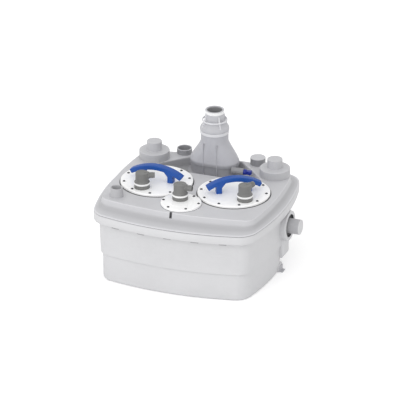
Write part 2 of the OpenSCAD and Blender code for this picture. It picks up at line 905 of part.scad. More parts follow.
// Holes for the studs of a turned handle
module at_studs(turn) {
    rotate(turn) for (s = [-1, 1]) translate([s * foot_span / 2, 0, 0]) children();
}

module pump_cover(side) {
    turn = side < 0 ? left_handle_turn : right_handle_turn;
    angle = side < 0 ? level_angle_left : level_angle_right;
    phase = side < 0 ? screw_phase_left : screw_phase_right;
    color(white_colour) at_pump(side) translate([0, 0, cover_z])
    difference() {
        cover_disc(cover_r);
        translate([0, 0, -eps]) {
            at_studs(turn) cylinder(r = stud_r + slip_fit, h = cover_t + 2 * eps);
            translate(level_place(angle, level_r)) cylinder(r = head_bore, h = cover_t + 2 * eps);
        }
        around(cover_screw_count, cover_screw_r, phase) screw_hole(cover_t);
    }
}

module cover_middle() {
    color(white_colour) translate([0, mid_y, cover_z])
    difference() {
        cover_disc(mid_r);
        translate([0, 0, -eps]) translate(level_place(level_angle_mid, level_r_mid))
            cylinder(r = head_bore, h = cover_t + 2 * eps);
        around(mid_screw_count, mid_screw_r, screw_phase_mid) screw_hole(cover_t);
    }
}

module pump_cover_seal(side) {
    phase = side < 0 ? screw_phase_left : screw_phase_right;
    color(seal_colour) at_pump(side) translate([0, 0, deck_z])
    difference() {
        union() {
            tube(seal_r, cover_hole_r, seal_t);
            tube(seal_r, cover_r + run_fit, seal_t + seal_rise);
        }
        around(cover_screw_count, cover_screw_r, phase) screw_hole(seal_t);
    }
}

module cover_seal_middle() {
    color(seal_colour) translate([0, mid_y, deck_z])
    difference() {
        tube(mid_r - plinth, mid_hole_r, seal_t);
        around(mid_screw_count, mid_screw_r, screw_phase_mid) screw_hole(seal_t);
    }
}

module cover_screws() {
    color(iron_colour) at_cover_screws() translate([0, 0, top_z]) {
        cylinder(r = screw_head_r, h = screw_head_h);
        translate([0, 0, -screw_len]) cylinder(r = screw_r, h = screw_len + eps);
    }
}

// Height of the strap's underside at a distance from the handle's middle
function strap_under(x) = strap_centre_z + sqrt(pow(strap_r - handle_t / 2, 2) - x * x);

// Side view of a handle: an arched strap with two feet on the cover, each with an inner gusset
module handle_profile() {
    reach = strap_r + handle_t;
    foot_in = (foot_span - foot_w) / 2;
    gusset_in = foot_in - foot_gusset;
    intersection() {
        translate([0, strap_centre_z]) difference() {
            circle(strap_r + handle_t / 2, $fn = 180);
            circle(strap_r - handle_t / 2, $fn = 180);
        }
        translate([0, strap_centre_z]) polygon([
            [0, 0], [reach * sin(strap_angle), reach * cos(strap_angle)],
            [reach * sin(strap_angle), 2 * reach], [-reach * sin(strap_angle), 2 * reach],
            [-reach * sin(strap_angle), reach * cos(strap_angle)]
        ]);
    }
    foot_top = strap_under(foot_in + foot_w) + handle_t / 2;
    for (s = [-1, 1]) mirror([s < 0 ? 1 : 0, 0]) {
        translate([foot_in, 0]) square([foot_w, foot_top]);
        polygon([
            [foot_in + eps, strap_under(foot_in) - foot_gusset], [foot_in + eps, strap_under(foot_in) + eps],
            [gusset_in, strap_under(gusset_in) + eps]
        ]);
    }
}

module handle(side) {
    turn = side < 0 ? left_handle_turn : right_handle_turn;
    color(blue_colour) at_pump(side) translate([0, 0, top_z])
    difference() {
        rotate([0, 0, turn]) rotate([90, 0, 0]) translate([0, 0, -handle_w / 2])
            linear_extrude(handle_w) handle_profile();
        at_studs(turn) translate([0, 0, -eps]) cylinder(r = stud_r + slip_fit, h = stud_up + eps);
    }
}

module handle_studs() {
    color(steel_colour) for (s = [-1, 1]) at_pump(s)
        at_studs(s < 0 ? left_handle_turn : right_handle_turn)
            translate([0, 0, cover_z - stud_down])
                cylinder(r = stud_r, h = stud_down + cover_t + stud_up - eps);
}

// Level head: stub, groove for the band, flare, body with a round top and a side nozzle
module level_head(which, angle) {
    band_z = head_stub_h;
    flare_z = band_z + band_h;
    color(head_colour) at_level(which) translate([0, 0, top_z])
    difference() {
        union() {
            rotate_extrude() {
                polygon([
                    [0, 0], [head_r, 0], [head_r, band_z], [head_r - head_groove, band_z],
                    [head_r - head_groove, flare_z], [head_r, flare_z], [head_body_r, flare_z + head_flare_h],
                    [head_body_r, head_h - head_round], [0, head_h - head_round]
                ]);
                square([head_body_r - head_round, head_h]);
                intersection() {
                    translate([head_body_r - head_round, head_h - head_round]) circle(head_round);
                    square([head_body_r, head_h]);
                }
            }
            translate([0, 0, nozzle_z]) rotate(angle) rotate([0, 90, 0]) {
                cylinder(r = nozzle_r, h = nozzle_reach);
                cylinder(r = nozzle_r + nozzle_collar, h = nozzle_collar_end);
            }
        }
        translate([0, 0, -eps]) cylinder(r = head_bore, h = tube_top + eps);
        translate([0, 0, tube_top - eps]) cylinder(r = nozzle_bore, h = nozzle_z - tube_top);
        translate([0, 0, nozzle_z]) rotate(angle) rotate([0, 90, 0])
            cylinder(r = nozzle_bore, h = nozzle_reach + eps);
    }
}

module head_clamp(which) {
    color(white_colour) at_level(which) translate([0, 0, top_z + head_stub_h + end_gap])
        tube(head_r + band_proud, head_r - head_groove + run_fit, band_h - 2 * end_gap);
}

module level_tube(which, bottom) {
    color(steel_colour) at_level(which) translate([0, 0, bottom])
        tube(tube_r, tube_bore, top_z + tube_top - end_gap - bottom);
}

// Holes through the collector's flange, from z = 0 upwards
module collector_bolt_holes(r, h) {
    for (x = collector_bolt_x, s = [-1, 1])
        translate([x, s * (collector_r + collector_flange - collector_bolt_in), 0]) cylinder(r = r, h = h);
}

module collector_cavity() {
    inner = collector_r - collector_wall;
    neck_inner = inner - sleeve_wall;
    translate([0, 0, flange_base - eps])
        stadium(inner - skirt_in, collector_half, lip_z - flange_base + 2 * eps);
    translate([0, 0, lip_z]) stadium(inner, collector_half, lip_h + eps);
    hull() {
        translate([0, 0, cone_z]) stadium(inner, collector_half, loft_slice, $fn = 32);
        translate([0, 0, neck_z - loft_slice]) cylinder(r = neck_inner, h = loft_slice, $fn = 32);
    }
    translate([0, 0, neck_z - eps]) cylinder(r = neck_inner, h = neck_h + sleeve_lap + 2 * eps);
}

// Thin ribs up the collector's front and back, from its flange to the top of the cone
module collector_ribs() {
    middle_y = collector_r + (rib_proud - rib_root) / 2;
    for (x = [-rib_x, rib_x], s = [-1, 1])
        translate([x, s * middle_y, (flange_base + neck_z) / 2])
            cube([rib_t, rib_root + rib_proud, neck_z - flange_base - 2 * eps], center = true);
}

module collector_body() {
    cock_inner = collector_r - collector_wall - skirt_in;
    cock_root = collector_half + sqrt(pow(cock_inner, 2) - pow(collector_y - cock_y, 2));
    color(lid_colour) translate([0, collector_y, 0])
    difference() {
        union() {
            translate([0, 0, flange_base])
                stadium(collector_r + collector_flange, collector_half, collector_flange_t);
            translate([0, 0, flange_base])
                stadium(collector_r - skirt_in, collector_half, lip_z - flange_base + eps);
            translate([0, 0, lip_z]) stadium(collector_r, collector_half, lip_h);
            hull() {
                translate([0, 0, cone_z - loft_slice]) stadium(neck_r, collector_half, loft_slice, $fn = 32);
                translate([0, 0, neck_z - loft_slice]) cylinder(r = neck_r, h = loft_slice, $fn = 32);
            }
            translate([0, 0, neck_z - loft_slice]) cylinder(r = neck_r, h = neck_h + loft_slice);
            translate([0, 0, sleeve_z - eps]) cylinder(r = collector_r - sleeve_wall, h = sleeve_lap + eps);
            collector_ribs();
            translate([cock_root + cock_lap, cock_y - collector_y, cock_z]) rotate([0, 90, 0])
                cylinder(r = cock_boss_r, h = cock_boss_end - cock_root - cock_lap);
        }
        collector_cavity();
        translate([cock_boss_end - plug_len, cock_y - collector_y, cock_z]) rotate([0, 90, 0])
            cylinder(r = plug_r + run_fit, h = plug_len + eps);
        translate([cock_root - eps, cock_y - collector_y, cock_z]) rotate([0, 90, 0])
            cylinder(r = drain_r, h = cock_boss_end - plug_len - cock_root + 2 * eps);
        translate([0, 0, flange_base - eps])
            collector_bolt_holes(collector_bolt_r + bolt_fit, collector_flange_t + 2 * eps);
    }
}

module collector_seal() {
    color(seal_colour) translate([0, collector_y, pocket_z]) difference() {
        stadium(collector_r + collector_flange, collector_half, collector_seal_t);
        for (s = [-1, 1]) translate([s * riser_x, 0, -eps])
            cylinder(r = riser_r + slip_fit, h = collector_seal_t + 2 * eps);
        translate([0, 0, -eps])
            collector_bolt_holes(collector_bolt_r + bolt_fit, collector_seal_t + 2 * eps);
    }
}

module collector_screws() {
    grip = flange_base + collector_flange_t - pocket_z + lid_wall;
    color(steel_colour) translate([0, collector_y, flange_base + collector_flange_t]) {
        collector_bolt_holes(collector_head_r, collector_head_h);
        translate([0, 0, -grip]) collector_bolt_holes(collector_bolt_r, grip + eps);
    }
}

module valve_seat() {
    lug_in = barrel_half + lug_gap;
    color(white_colour) union() {
        translate([0, collector_y, seat_z]) difference() {
            stadium(collector_r + collector_flange, collector_half, valve_seat_t);
            for (s = [-1, 1]) translate([s * riser_x, 0, -eps])
                cylinder(r = riser_bore, h = valve_seat_t + 2 * eps);
            translate([0, 0, -eps])
                collector_bolt_holes(collector_bolt_r + bolt_fit, valve_seat_t + 2 * eps);
        }
        for (s = [-1, 1]) translate([s * riser_x, flap_pin_y, 0]) {
            for (t = [-1, 1]) translate([t * (lug_in + lug_t / 2), 0, 0]) {
                translate([-lug_t / 2, -barrel_r, flange_base - eps])
                    cube([lug_t, 2 * barrel_r, pin_rise + eps]);
                translate([-lug_t / 2, 0, flap_pin_z]) rotate([0, 90, 0]) cylinder(r = barrel_r, h = lug_t);
            }
            translate([-lug_in - pin_lap, 0, flap_pin_z]) rotate([0, 90, 0])
                cylinder(r = pin_r, h = 2 * (lug_in + pin_lap));
        }
    }
}

module flap(side) {
    arm_w = 2 * (barrel_half - arm_in);
    color(seal_colour) translate([side * riser_x, collector_y, 0])
    difference() {
        union() {
            translate([0, 0, flange_base + flap_lift]) cylinder(r = flap_r, h = flap_t);
            translate([-arm_w / 2, 0, flange_base + flap_lift + flap_t / 2])
                cube([arm_w, flap_arm, flap_t / 2 + arm_lap]);
            translate([-barrel_half, flap_arm, flap_pin_z]) rotate([0, 90, 0])
                cylinder(r = barrel_r, h = 2 * barrel_half);
        }
        translate([-barrel_half - eps, flap_arm, flap_pin_z]) rotate([0, 90, 0])
            cylinder(r = pin_r + run_fit, h = 2 * barrel_half + 2 * eps);
    }
}

module drain_knob() {
    color(knob_colour) translate([cock_boss_end, cock_y, cock_z]) rotate([0, 90, 0]) {
        translate([0, 0, eps - plug_len]) cylinder(r = plug_r, h = plug_len);
        translate([0, 0, knob_gap]) difference() {
            union() {
                cylinder(r = knob_r, h = knob_len / 3);
                intersection() {
                    cylinder(r = knob_r, h = knob_len);
                    translate([-knob_r, -wing_t / 2, 0]) cube([2 * knob_r, wing_t, knob_len]);
                }
            }
            translate([0, 0, knob_len + knob_dip_r - knob_dip]) rotate([90, 0, 0])
                cylinder(r = knob_dip_r, h = 2 * knob_r, center = true);
        }
    }
}

// Soft sleeve from the collector's neck up to the discharge mouth
module outlet_sleeve() {
    bulge_z = sleeve_z + clamp_h;
    taper_z = bulge_z + bulge_h;
    ring_z = taper_z + taper_h;
    band_z = mouth_z - band_top_h;
    lap_r = collector_r - sleeve_wall + run_fit;
    color(lid_colour) translate([0, collector_y, 0])
    difference() {
        union() {
            rotate_extrude() polygon([
                [0, sleeve_z], [collector_r, sleeve_z], [collector_r, bulge_z], [bulge_r, bulge_z + eps],
                [bulge_r, taper_z], [taper_r - ring_proud, ring_z], [taper_r, ring_z], [taper_r, outlet_z],
                [outlet_r, outlet_z], [outlet_r, band_z], [outlet_r - band_groove, band_z],
                [outlet_r - band_groove, mouth_z - mouth_lip], [outlet_r, mouth_z - mouth_lip],
                [outlet_r, mouth_z], [0, mouth_z]
            ]);
            for (a = [45:90:315]) rotate(a) rotate([90, 0, 0]) translate([0, 0, -fin_t / 2])
                linear_extrude(fin_t) polygon([
                    [outlet_r - fin_root, band_z - fin_drop], [outlet_r + rim_edge, band_z - fin_drop],
                    [bulge_r - rim_edge, taper_z], [outlet_r - fin_root, taper_z]
                ]);
        }
        translate([0, 0, sleeve_z - eps]) cylinder(r = lap_r, h = sleeve_lap + eps);
        translate([0, 0, sleeve_z]) cylinder(r = outlet_bore, h = mouth_z);
    }
}

module lower_clamp() {
    color(white_colour) translate([0, collector_y, sleeve_z + end_gap])
        tube(collector_r + clamp_proud, collector_r + run_fit, clamp_h - 2 * end_gap);
}

module upper_clamp() {
    color(white_colour) translate([0, collector_y, mouth_z - band_top_h + end_gap])
        tube(outlet_r + band_proud, outlet_r - band_groove + run_fit, band_top_h - mouth_lip - 2 * end_gap);
}

// Motor can: closed top with the upper bearing's seat, stator ledge, floor with the lower seat
module motor_can(side) {
    seat_r = bearing_r + run_fit;
    core_room = core_z - can_bottom;
    color(steel_colour) at_pump(side) translate([0, 0, can_bottom])
    difference() {
        union() {
            difference() {
                cylinder(r = can_r, h = can_h);
                translate([0, 0, core_room])
                    cylinder(r = can_r - can_wall, h = can_h - core_room - can_top_t);
                translate([0, 0, can_floor_t])
                    cylinder(r = can_r - can_wall - ledge_in, h = can_h - can_floor_t - can_top_t);
            }
            translate([0, 0, can_h - can_top_t - bearing_h])
                cylinder(r = bearing_r + bearing_wall, h = bearing_h + eps);
        }
        translate([0, 0, can_h - can_top_t - bearing_h - eps]) cylinder(r = seat_r, h = bearing_h + eps);
        translate([0, 0, can_floor_t - bearing_h]) cylinder(r = seat_r, h = bearing_h + eps);
        translate([0, 0, -eps]) cylinder(r = shaft_seal_r + run_fit, h = can_floor_t);
        at_studs(side < 0 ? left_handle_turn : right_handle_turn)
            translate([0, 0, can_h - stud_down - stud_room])
                cylinder(r = stud_r + slip_fit, h = stud_down + 2 * stud_room);
    }
}

module stator(side) {
    color(copper_colour) at_pump(side) translate([0, 0, core_z]) tube(stator_r, rotor_r + air_gap, core_h);
}

module bearing(side, z) {
    color(steel_colour) at_pump(side) translate([0, 0, z]) tube(bearing_r, shaft_r + run_fit, bearing_h);
}

module shaft_seal(side) {
    color(seal_colour) at_pump(side) translate([0, 0, can_bottom])
        tube(shaft_seal_r, shaft_r + run_fit, can_floor_t - bearing_h);
}

module volute(side) {
    angle = side > 0 ? riser_angle : 180 - riser_angle;
    color(iron_colour) at_pump(side) translate([0, 0, volute_bottom])
    difference() {
        union() {
            cylinder(r = can_r, h = volute_h);
            translate([0, 0, outlet_lift]) rotate(angle) rotate([0, 90, 0])
                cylinder(r = riser_r + outlet_wrap, h = riser_socket + outlet_lap);
        }
        translate([0, 0, volute_plate]) cylinder(r = can_r - volute_wall, h = volute_h - 2 * volute_plate);
        translate([0, 0, -eps]) cylinder(r = volute_eye_r, h = volute_plate + 2 * eps);
        translate([0, 0, volute_h - volute_plate - eps])
            cylinder(r = shaft_r + volute_run, h = volute_plate + 2 * eps);
        translate([0, 0, outlet_lift]) rotate(angle) rotate([0, 90, 0]) {
            cylinder(r = riser_bore, h = riser_socket + eps);
            translate([0, 0, riser_socket]) cylinder(r = riser_r + slip_fit, h = outlet_lap + eps);
        }
    }
}

module cutter_plate(side) {
    color(steel_colour) at_pump(side) translate([0, 0, volute_bottom - cutter_t])
    difference() {
        tube(cutter_r, cutter_bore, cutter_t);
        around(cutter_slots, cutter_bore + slot_cut_out)
            translate([-slot_cut_len / 2, -slot_cut_w / 2, -eps])
                cube([slot_cut_len, slot_cut_w, cutter_t + 2 * eps]);
    }
}

module riser(side) {
    start = riser_socket;
    color(lid_colour) mirror([side < 0 ? 1 : 0, 0, 0])
    difference() {
        union() {
            translate([cover_x, cover_y, riser_z]) rotate(riser_angle) rotate([0, 90, 0])
                translate([0, 0, start]) cylinder(r = riser_r, h = riser_len - start);
            translate([riser_x, collector_y, riser_z]) sphere(riser_r + elbow_proud);
            translate([riser_x, collector_y, riser_z]) cylinder(r = riser_r, h = seat_z - riser_z);
        }
        translate([cover_x, cover_y, riser_z]) rotate(riser_angle) rotate([0, 90, 0])
            translate([0, 0, start - eps]) cylinder(r = riser_bore, h = riser_len - start + eps);
        translate([riser_x, collector_y, riser_z]) sphere(riser_bore + elbow_proud / 2);
        translate([riser_x, collector_y, riser_z]) cylinder(r = riser_bore, h = seat_z - riser_z + eps);
    }
}

module rotor_shaft(side) {
    top = cover_z - can_top_t - shaft_room;
    bottom = volute_bottom - cutter_t - blade_gap - blade_h;
    color(steel_colour) at_pump(side) union() {
        translate([0, 0, bottom]) cylinder(r = shaft_r, h = top - bottom);
        translate([0, 0, core_z]) cylinder(r = rotor_r, h = core_h);
    }
}

// Impeller: a plate under the volute's top with curved vanes below it
module impeller(side) {
    plate_z = volute_bottom + volute_h - volute_plate - impeller_gap - impeller_plate;
    vane_h = plate_z - volute_bottom - volute_plate - impeller_gap;
    sweep_r = impeller_r * vane_sweep;
    color(iron_colour) at_pump(side) translate([0, 0, plate_z])
    difference() {
        union() {
            cylinder(r = impeller_r, h = impeller_plate);
            translate([0, 0, -vane_h]) cylinder(r = hub_r, h = vane_h + vane_lap);
            intersection() {
                translate([0, 0, -vane_h]) cylinder(r = impeller_r, h = vane_h + vane_lap);
                around(vane_count, 0) translate([sweep_r + hub_r - vane_t, 0, -vane_h]) intersection() {
                    tube(sweep_r, sweep_r - vane_t, vane_h + vane_lap);
                    translate([-2 * sweep_r, 0, -eps])
                        cube([4 * sweep_r, 2 * sweep_r, vane_h + 2 * vane_lap]);
                }
            }
        }
        translate([0, 0, -vane_h - eps])
            cylinder(r = shaft_r + run_fit, h = vane_h + impeller_plate + 2 * eps);
    }
}

module cutter_blade(side) {
    color(steel_colour) at_pump(side) translate([0, 0, volute_bottom - cutter_t - blade_gap - blade_h])
    difference() {
        union() {
            cylinder(r = hub_r, h = blade_h);
            around(blade_count, 0)
                translate([0, -blade_w / 2, 0]) cube([blade_r, blade_w, blade_h - blade_thin]);
        }
        translate([0, 0, -eps]) cylinder(r = shaft_r + run_fit, h = blade_h + 2 * eps);
    }
}

tub();
lid();
open_pipes();
rim_gasket();
rim_clips();
side_inlet(-1);  // side_inlet_left
side_inlet(1);  // side_inlet_right
floor_bracket(-1);  // floor_bracket_left
floor_bracket(1);  // floor_bracket_right
pump_cover(-1);  // cover_left
pump_cover(1);  // cover_right
cover_middle();
pump_cover_seal(-1);  // cover_seal_left
pump_cover_seal(1);  // cover_seal_right
cover_seal_middle();
cover_screws();
handle(-1);  // handle_left
handle(1);  // handle_right
handle_studs();
level_head("left", nozzle_angle_left);  // level_head_left
level_head("right", nozzle_angle_right);  // level_head_right
level_head("middle", nozzle_angle_mid);  // level_head_middle
head_clamp("left");  // head_clamp_left
head_clamp("right");  // head_clamp_right
head_clamp("middle");  // head_clamp_middle
level_tube("left", level_tube_z);  // level_tube_left
level_tube("right", level_tube_z);  // level_tube_right
level_tube("middle", alarm_tube_z);  // level_tube_middle
collector_body();
collector_seal();
collector_screws();
valve_seat();
outlet_sleeve();
lower_clamp();
upper_clamp();
motor_can(-1);  // motor_can_left
motor_can(1);  // motor_can_right
stator(-1);  // stator_left
stator(1);  // stator_right
bearing(-1, cover_z - can_top_t - bearing_h);  // upper_bearing_left
bearing(1, cover_z - can_top_t - bearing_h);  // upper_bearing_right
bearing(-1, can_bottom + can_floor_t - bearing_h);  // lower_bearing_left
bearing(1, can_bottom + can_floor_t - bearing_h);  // lower_bearing_right
shaft_seal(-1);  // shaft_seal_left
shaft_seal(1);  // shaft_seal_right
volute(-1);  // volute_left
volute(1);  // volute_right
cutter_plate(-1);  // cutter_plate_left
cutter_plate(1);  // cutter_plate_right
riser(-1);  // riser_left
riser(1);  // riser_right
rotor_shaft(-1);  // rotor_shaft_left
rotor_shaft(1);  // rotor_shaft_right
impeller(-1);  // impeller_left
impeller(1);  // impeller_right
cutter_blade(-1);  // cutter_blade_left
cutter_blade(1);  // cutter_blade_right
flap(-1);  // flap_left
flap(1);  // flap_right
drain_knob();
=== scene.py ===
# %% [markdown]
# # A twin-pump lifting station in Blender
# The object is a floor tank for waste water. Two grinder pumps hang under its round white covers,
# and a grey collector at the back gathers what they lift. Almost everything is moulded plastic, so
# the work is in soft edges, clean curves and quiet surfaces that differ a little from each other.
# The solids come from CAD and stay where they are. This script dresses them.

# %% Load the frame
import json
from math import asin, atan2, cos, pi, radians, sin, sqrt, tan

import bmesh
import bpy
import numpy as np
from mathutils import Matrix, Vector


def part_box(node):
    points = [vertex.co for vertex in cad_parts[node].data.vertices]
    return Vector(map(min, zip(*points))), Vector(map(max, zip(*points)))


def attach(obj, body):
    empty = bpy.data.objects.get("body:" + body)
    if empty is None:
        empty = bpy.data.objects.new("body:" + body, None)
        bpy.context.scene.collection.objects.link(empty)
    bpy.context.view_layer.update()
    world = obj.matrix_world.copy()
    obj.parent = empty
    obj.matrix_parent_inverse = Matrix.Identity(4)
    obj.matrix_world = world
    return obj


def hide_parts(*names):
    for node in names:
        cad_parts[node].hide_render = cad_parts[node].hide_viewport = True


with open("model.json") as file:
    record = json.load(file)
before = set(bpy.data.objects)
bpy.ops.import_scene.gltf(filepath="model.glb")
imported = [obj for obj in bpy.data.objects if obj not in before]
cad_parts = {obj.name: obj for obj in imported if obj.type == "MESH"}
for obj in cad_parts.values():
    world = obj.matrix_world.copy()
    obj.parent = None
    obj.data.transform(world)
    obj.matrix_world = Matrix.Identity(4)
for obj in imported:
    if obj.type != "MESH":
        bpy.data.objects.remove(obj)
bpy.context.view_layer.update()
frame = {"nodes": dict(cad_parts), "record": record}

# %% [markdown]
# ## Sizes from the frame
# The main places are read from the boxes of the CAD nodes, so the pieces sit where the solids do.
# Blender works in metres. What a box can't tell, such as a fillet or a place on the lid, is written
# in millimetres and made metres with MM. Profiles and the sizes in them stay in plain millimetres
# until a helper converts them.

# %% Read the main places
MM = 0.001


def middle(node):
    """Centre of a CAD node's box."""
    low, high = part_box(node)
    return (low + high) / 2


def top(node):
    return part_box(node)[1].z


def bottom(node):
    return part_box(node)[0].z


def radius(node):
    """Half the width of a round node along X."""
    low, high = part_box(node)
    return (high.x - low.x) / 2


rim_low, rim_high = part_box("lid")
half_w = rim_high.x
rim_front = rim_low.y
rim_back = rim_high.y
tub_top = top("tub")
flange_z = bottom("lid")
cover_top = top("cover_left")
cover_low = bottom("cover_left")
deck_z = bottom("cover_seal_left")
covers = {name: middle("cover_" + name) for name in ("left", "right", "middle")}
collector = middle("lower_clamp")
print("rim", round(2 * half_w, 3), "x", round(rim_back - rim_front, 3), "deck", round(deck_z, 3))

# %% [markdown]
# ## Helpers for meshes
# Moulded parts are lofts, which join a stack of outlines, and lathed forms, which turn a profile
# about an axis. Both need soft edges, so one helper rounds the corners of any line of points.
# Building the vertices by rule keeps the faces in neat rows, which a boolean would not.

# %% Round corners
STRAIGHT = radians(89.5)  # half the angle from which a corner counts as none
CORNER_SHARE = 0.48  # the most of a side's length that a round corner takes


def round_corner(start, corner, end, sine, steps):
    """Points of an arc between the sides of a corner; sine is that of half the corner's angle."""
    points = []
    for j in range(steps + 1):
        t = j / steps
        a, b, c = (1 - t) ** 2, 2 * sine * t * (1 - t), t * t
        points.append((start * a + corner * b + end * c) / (a + b + c))
    return points


def fillet(points, radii, steps=5, closed=False):
    """The line of 2D points with each corner rounded; radii is one number or one per point."""
    points = [Vector(p) for p in points]
    count = len(points)
    if not hasattr(radii, "__len__"):
        radii = [radii] * count
    result = []
    for k, corner in enumerate(points):
        to_before = points[k - 1] - corner
        to_after = points[(k + 1) % count] - corner
        end_point = not closed and k in (0, count - 1)
        half = 0 if end_point or radii[k] <= 0 else to_before.angle(to_after) / 2
        if half == 0 or half > STRAIGHT:
            result.append(corner)
            continue
        reach = min(radii[k] / tan(half), CORNER_SHARE * min(to_before.length, to_after.length))
        start = corner + to_before.normalized() * reach
        end = corner + to_after.normalized() * reach
        result += round_corner(start, corner, end, sin(half), steps)
    return result


# %% Lofts and lathed forms
def loft(rings, low_cap=True, high_cap=True):
    """Vertices and faces through a stack of closed rings, lowest first, each counter-clockwise."""
    count = len(rings[0])
    verts = [tuple(p) for ring in rings for p in ring]
    faces = []
    for j in range(len(rings) - 1):
        for k in range(count):
            a, b = j * count + k, j * count + (k + 1) % count
            faces.append((a, b, b + count, a + count))
    if low_cap:
        faces.append(tuple(range(count - 1, -1, -1)))
    if high_cap:
        last = (len(rings) - 1) * count
        faces.append(tuple(range(last, last + count)))
    return verts, faces


def turned(profile, rounding, centre=(0, 0, 0), axis=(0, 0, 1), segments=96, steps=5):
    """Lathes (radius, height) points about an axis through the centre.

    Profile and rounding are in millimetres, and the profile runs upwards on the outside.
    """
    radii = [r * MM for r in rounding] if hasattr(rounding, "__len__") else rounding * MM
    turn = Vector((0, 0, 1)).rotation_difference(Vector(axis)).to_matrix()
    centre = Vector(centre)
    verts, faces, rows = [], [], []
    for r, h in fillet([(r * MM, h * MM) for r, h in profile], radii, steps):
        start = len(verts)
        if r < 1e-7:
            verts.append(tuple(centre + turn @ Vector((0, 0, h))))
            rows.append([start] * segments)
            continue
        for k in range(segments):
            a = 2 * pi * k / segments
            verts.append(tuple(centre + turn @ Vector((r * cos(a), r * sin(a), h))))
        rows.append(list(range(start, start + segments)))
    for low, high in zip(rows, rows[1:]):
        for k in range(segments):
            n = (k + 1) % segments
            face = dict.fromkeys((low[k], low[n], high[n], high[k]))
            if len(face) > 2:
                faces.append(tuple(face))
    return verts, faces


def gather(*parts):
    """One list of vertices and faces out of several."""
    verts, faces = [], []
    for part_verts, part_faces in parts:
        shift = len(verts)
        verts += list(part_verts)
        faces += [tuple(i + shift for i in face) for face in part_faces]
    return verts, faces


# %% Objects and meshes
SHARP = radians(38)


def add_object(name, data):
    obj = bpy.data.objects.new(name, data)
    bpy.context.scene.collection.objects.link(obj)
    return obj


def mesh_object(name, shape, sharp=SHARP):
    """A smooth mesh object that keeps edges sharper than an angle."""
    mesh = bpy.data.meshes.new(name)
    mesh.from_pydata(shape[0], [], shape[1])
    mesh.validate()
    mesh.shade_smooth()
    mesh.set_sharp_from_angle(angle=sharp)
    return add_object(name, mesh)


def evaluated(obj):
    """A plain mesh of an object with its modifiers or its curve worked out."""
    bpy.context.view_layer.update()
    return bpy.data.meshes.new_from_object(obj.evaluated_get(bpy.context.evaluated_depsgraph_get()))


def shape_of(mesh):
    """Vertices and faces of a mesh, which isn't needed any more after that."""
    shape = [tuple(v.co) for v in mesh.vertices], [tuple(p.vertices) for p in mesh.polygons]
    bpy.data.meshes.remove(mesh)
    return shape


def mesh_from(bm):
    """A mesh made of an edit mesh, which is freed."""
    mesh = bpy.data.meshes.new("made")
    bm.to_mesh(mesh)
    bm.free()
    return mesh


# %% Pieces on the frame
made = []


def piece(name, shape, finish, node=None, body="tank", sharp=SHARP):
    """Makes a mesh piece that rides on a body and, where a node is named, stands for it."""
    obj = mesh_object(name, shape, sharp)
    obj.data.materials.append(finish)
    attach(obj, body)
    if node:
        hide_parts(node)
    made.append(obj.name)
    return obj


# %% [markdown]
# ## Node trees
# Finishes and repeated pieces are both made of node trees. Writing their sums as Python expressions
# keeps them readable, so a socket is wrapped in a class that knows +, -, * and /. One method adds any
# other node.

# %% Sums and nodes
def arithmetic(operation, on_right=False):
    """A method that adds a Math node; the socket may stand on the right of the sign."""
    def method(self, other):
        a, b = (other, self) if on_right else (self, other)
        return self.tree.node("ShaderNodeMath", {0: a, 1: b}, operation=operation)
    return method


class Value:
    """A socket of a tree. Arithmetic on it adds Math nodes."""

    __add__, __radd__ = arithmetic("ADD"), arithmetic("ADD", True)
    __mul__, __rmul__ = arithmetic("MULTIPLY"), arithmetic("MULTIPLY", True)
    __rsub__ = arithmetic("SUBTRACT", True)
    __rtruediv__ = arithmetic("DIVIDE", True)

    def __init__(self, tree, socket):
        self.tree = tree
        self.socket = socket

    def clamped(self):
        return self.tree.node("ShaderNodeClamp", {"Value": self})


# %% A node tree
class Tree:
    """A node tree with one method that adds nodes."""

    def __init__(self, tree):
        self.tree = tree

    def node(self, kind, inputs=None, output=0, **settings):
        """Adds a node with its settings and with the values or links of its sockets."""
        node = self.tree.nodes.new(kind)
        for key, value in settings.items():
            setattr(node, key, value)
        for key, value in (inputs or {}).items():
            self.put(node.inputs[key], value)
        return Value(self, node.outputs[output])

    def put(self, socket, value):
        if isinstance(value, Value):
            self.tree.links.new(value.socket, socket)
        else:
            socket.default_value = value

    def ray(self, kind):
        """1 for rays of a kind and 0 for all others."""
        return self.node("ShaderNodeLightPath", output="Is " + kind + " Ray")


# %% A finish
X, Z = 0, 2
FIRST_COLOUR, SECOND_COLOUR, MIXED_COLOUR = 6, 7, 2  # sockets of a Mix node


class Finish(Tree):
    """A material with a Principled shader."""

    def __init__(self, name):
        self.material = bpy.data.materials.new(name)
        self.material.use_nodes = True
        super().__init__(self.material.node_tree)
        self.shader = self.tree.nodes["Principled BSDF"]

    def set(self, **inputs):
        """Sets the shader's sockets; a name's underscores are spaces."""
        for key, value in inputs.items():
            self.put(self.shader.inputs[key.replace("_", " ")], value)
        return self.material

    def place(self):
        """Object coordinates, in metres."""
        return self.node("ShaderNodeTexCoord", output="Object")

    def along(self, axis):
        """The object coordinate on one axis."""
        return self.node("ShaderNodeSeparateXYZ", {"Vector": self.place()}, axis)

    def noise(self, scale, detail=2.0, roughness=0.5, distortion=0.0):
        """Noise from 0 to 1; scale is in waves per metre."""
        return self.node(
            "ShaderNodeTexNoise",
            {"Vector": self.place(), "Scale": scale, "Detail": detail, "Roughness": roughness,
             "Distortion": distortion})

    def blend(self, factor, first, second):
        """Mix of two colours."""
        return self.node(
            "ShaderNodeMix", {"Factor": factor, FIRST_COLOUR: first, SECOND_COLOUR: second},
            MIXED_COLOUR, data_type="RGBA")

    def ramp(self, value, low, high):
        """0 below low and 1 above high, with a smooth way between."""
        return self.node(
            "ShaderNodeMapRange", {"Value": value, "From Min": low, "From Max": high},
            interpolation_type="SMOOTHSTEP")

    def bump(self, height, strength, distance):
        return self.node("ShaderNodeBump", {"Height": height, "Strength": strength, "Distance": distance})


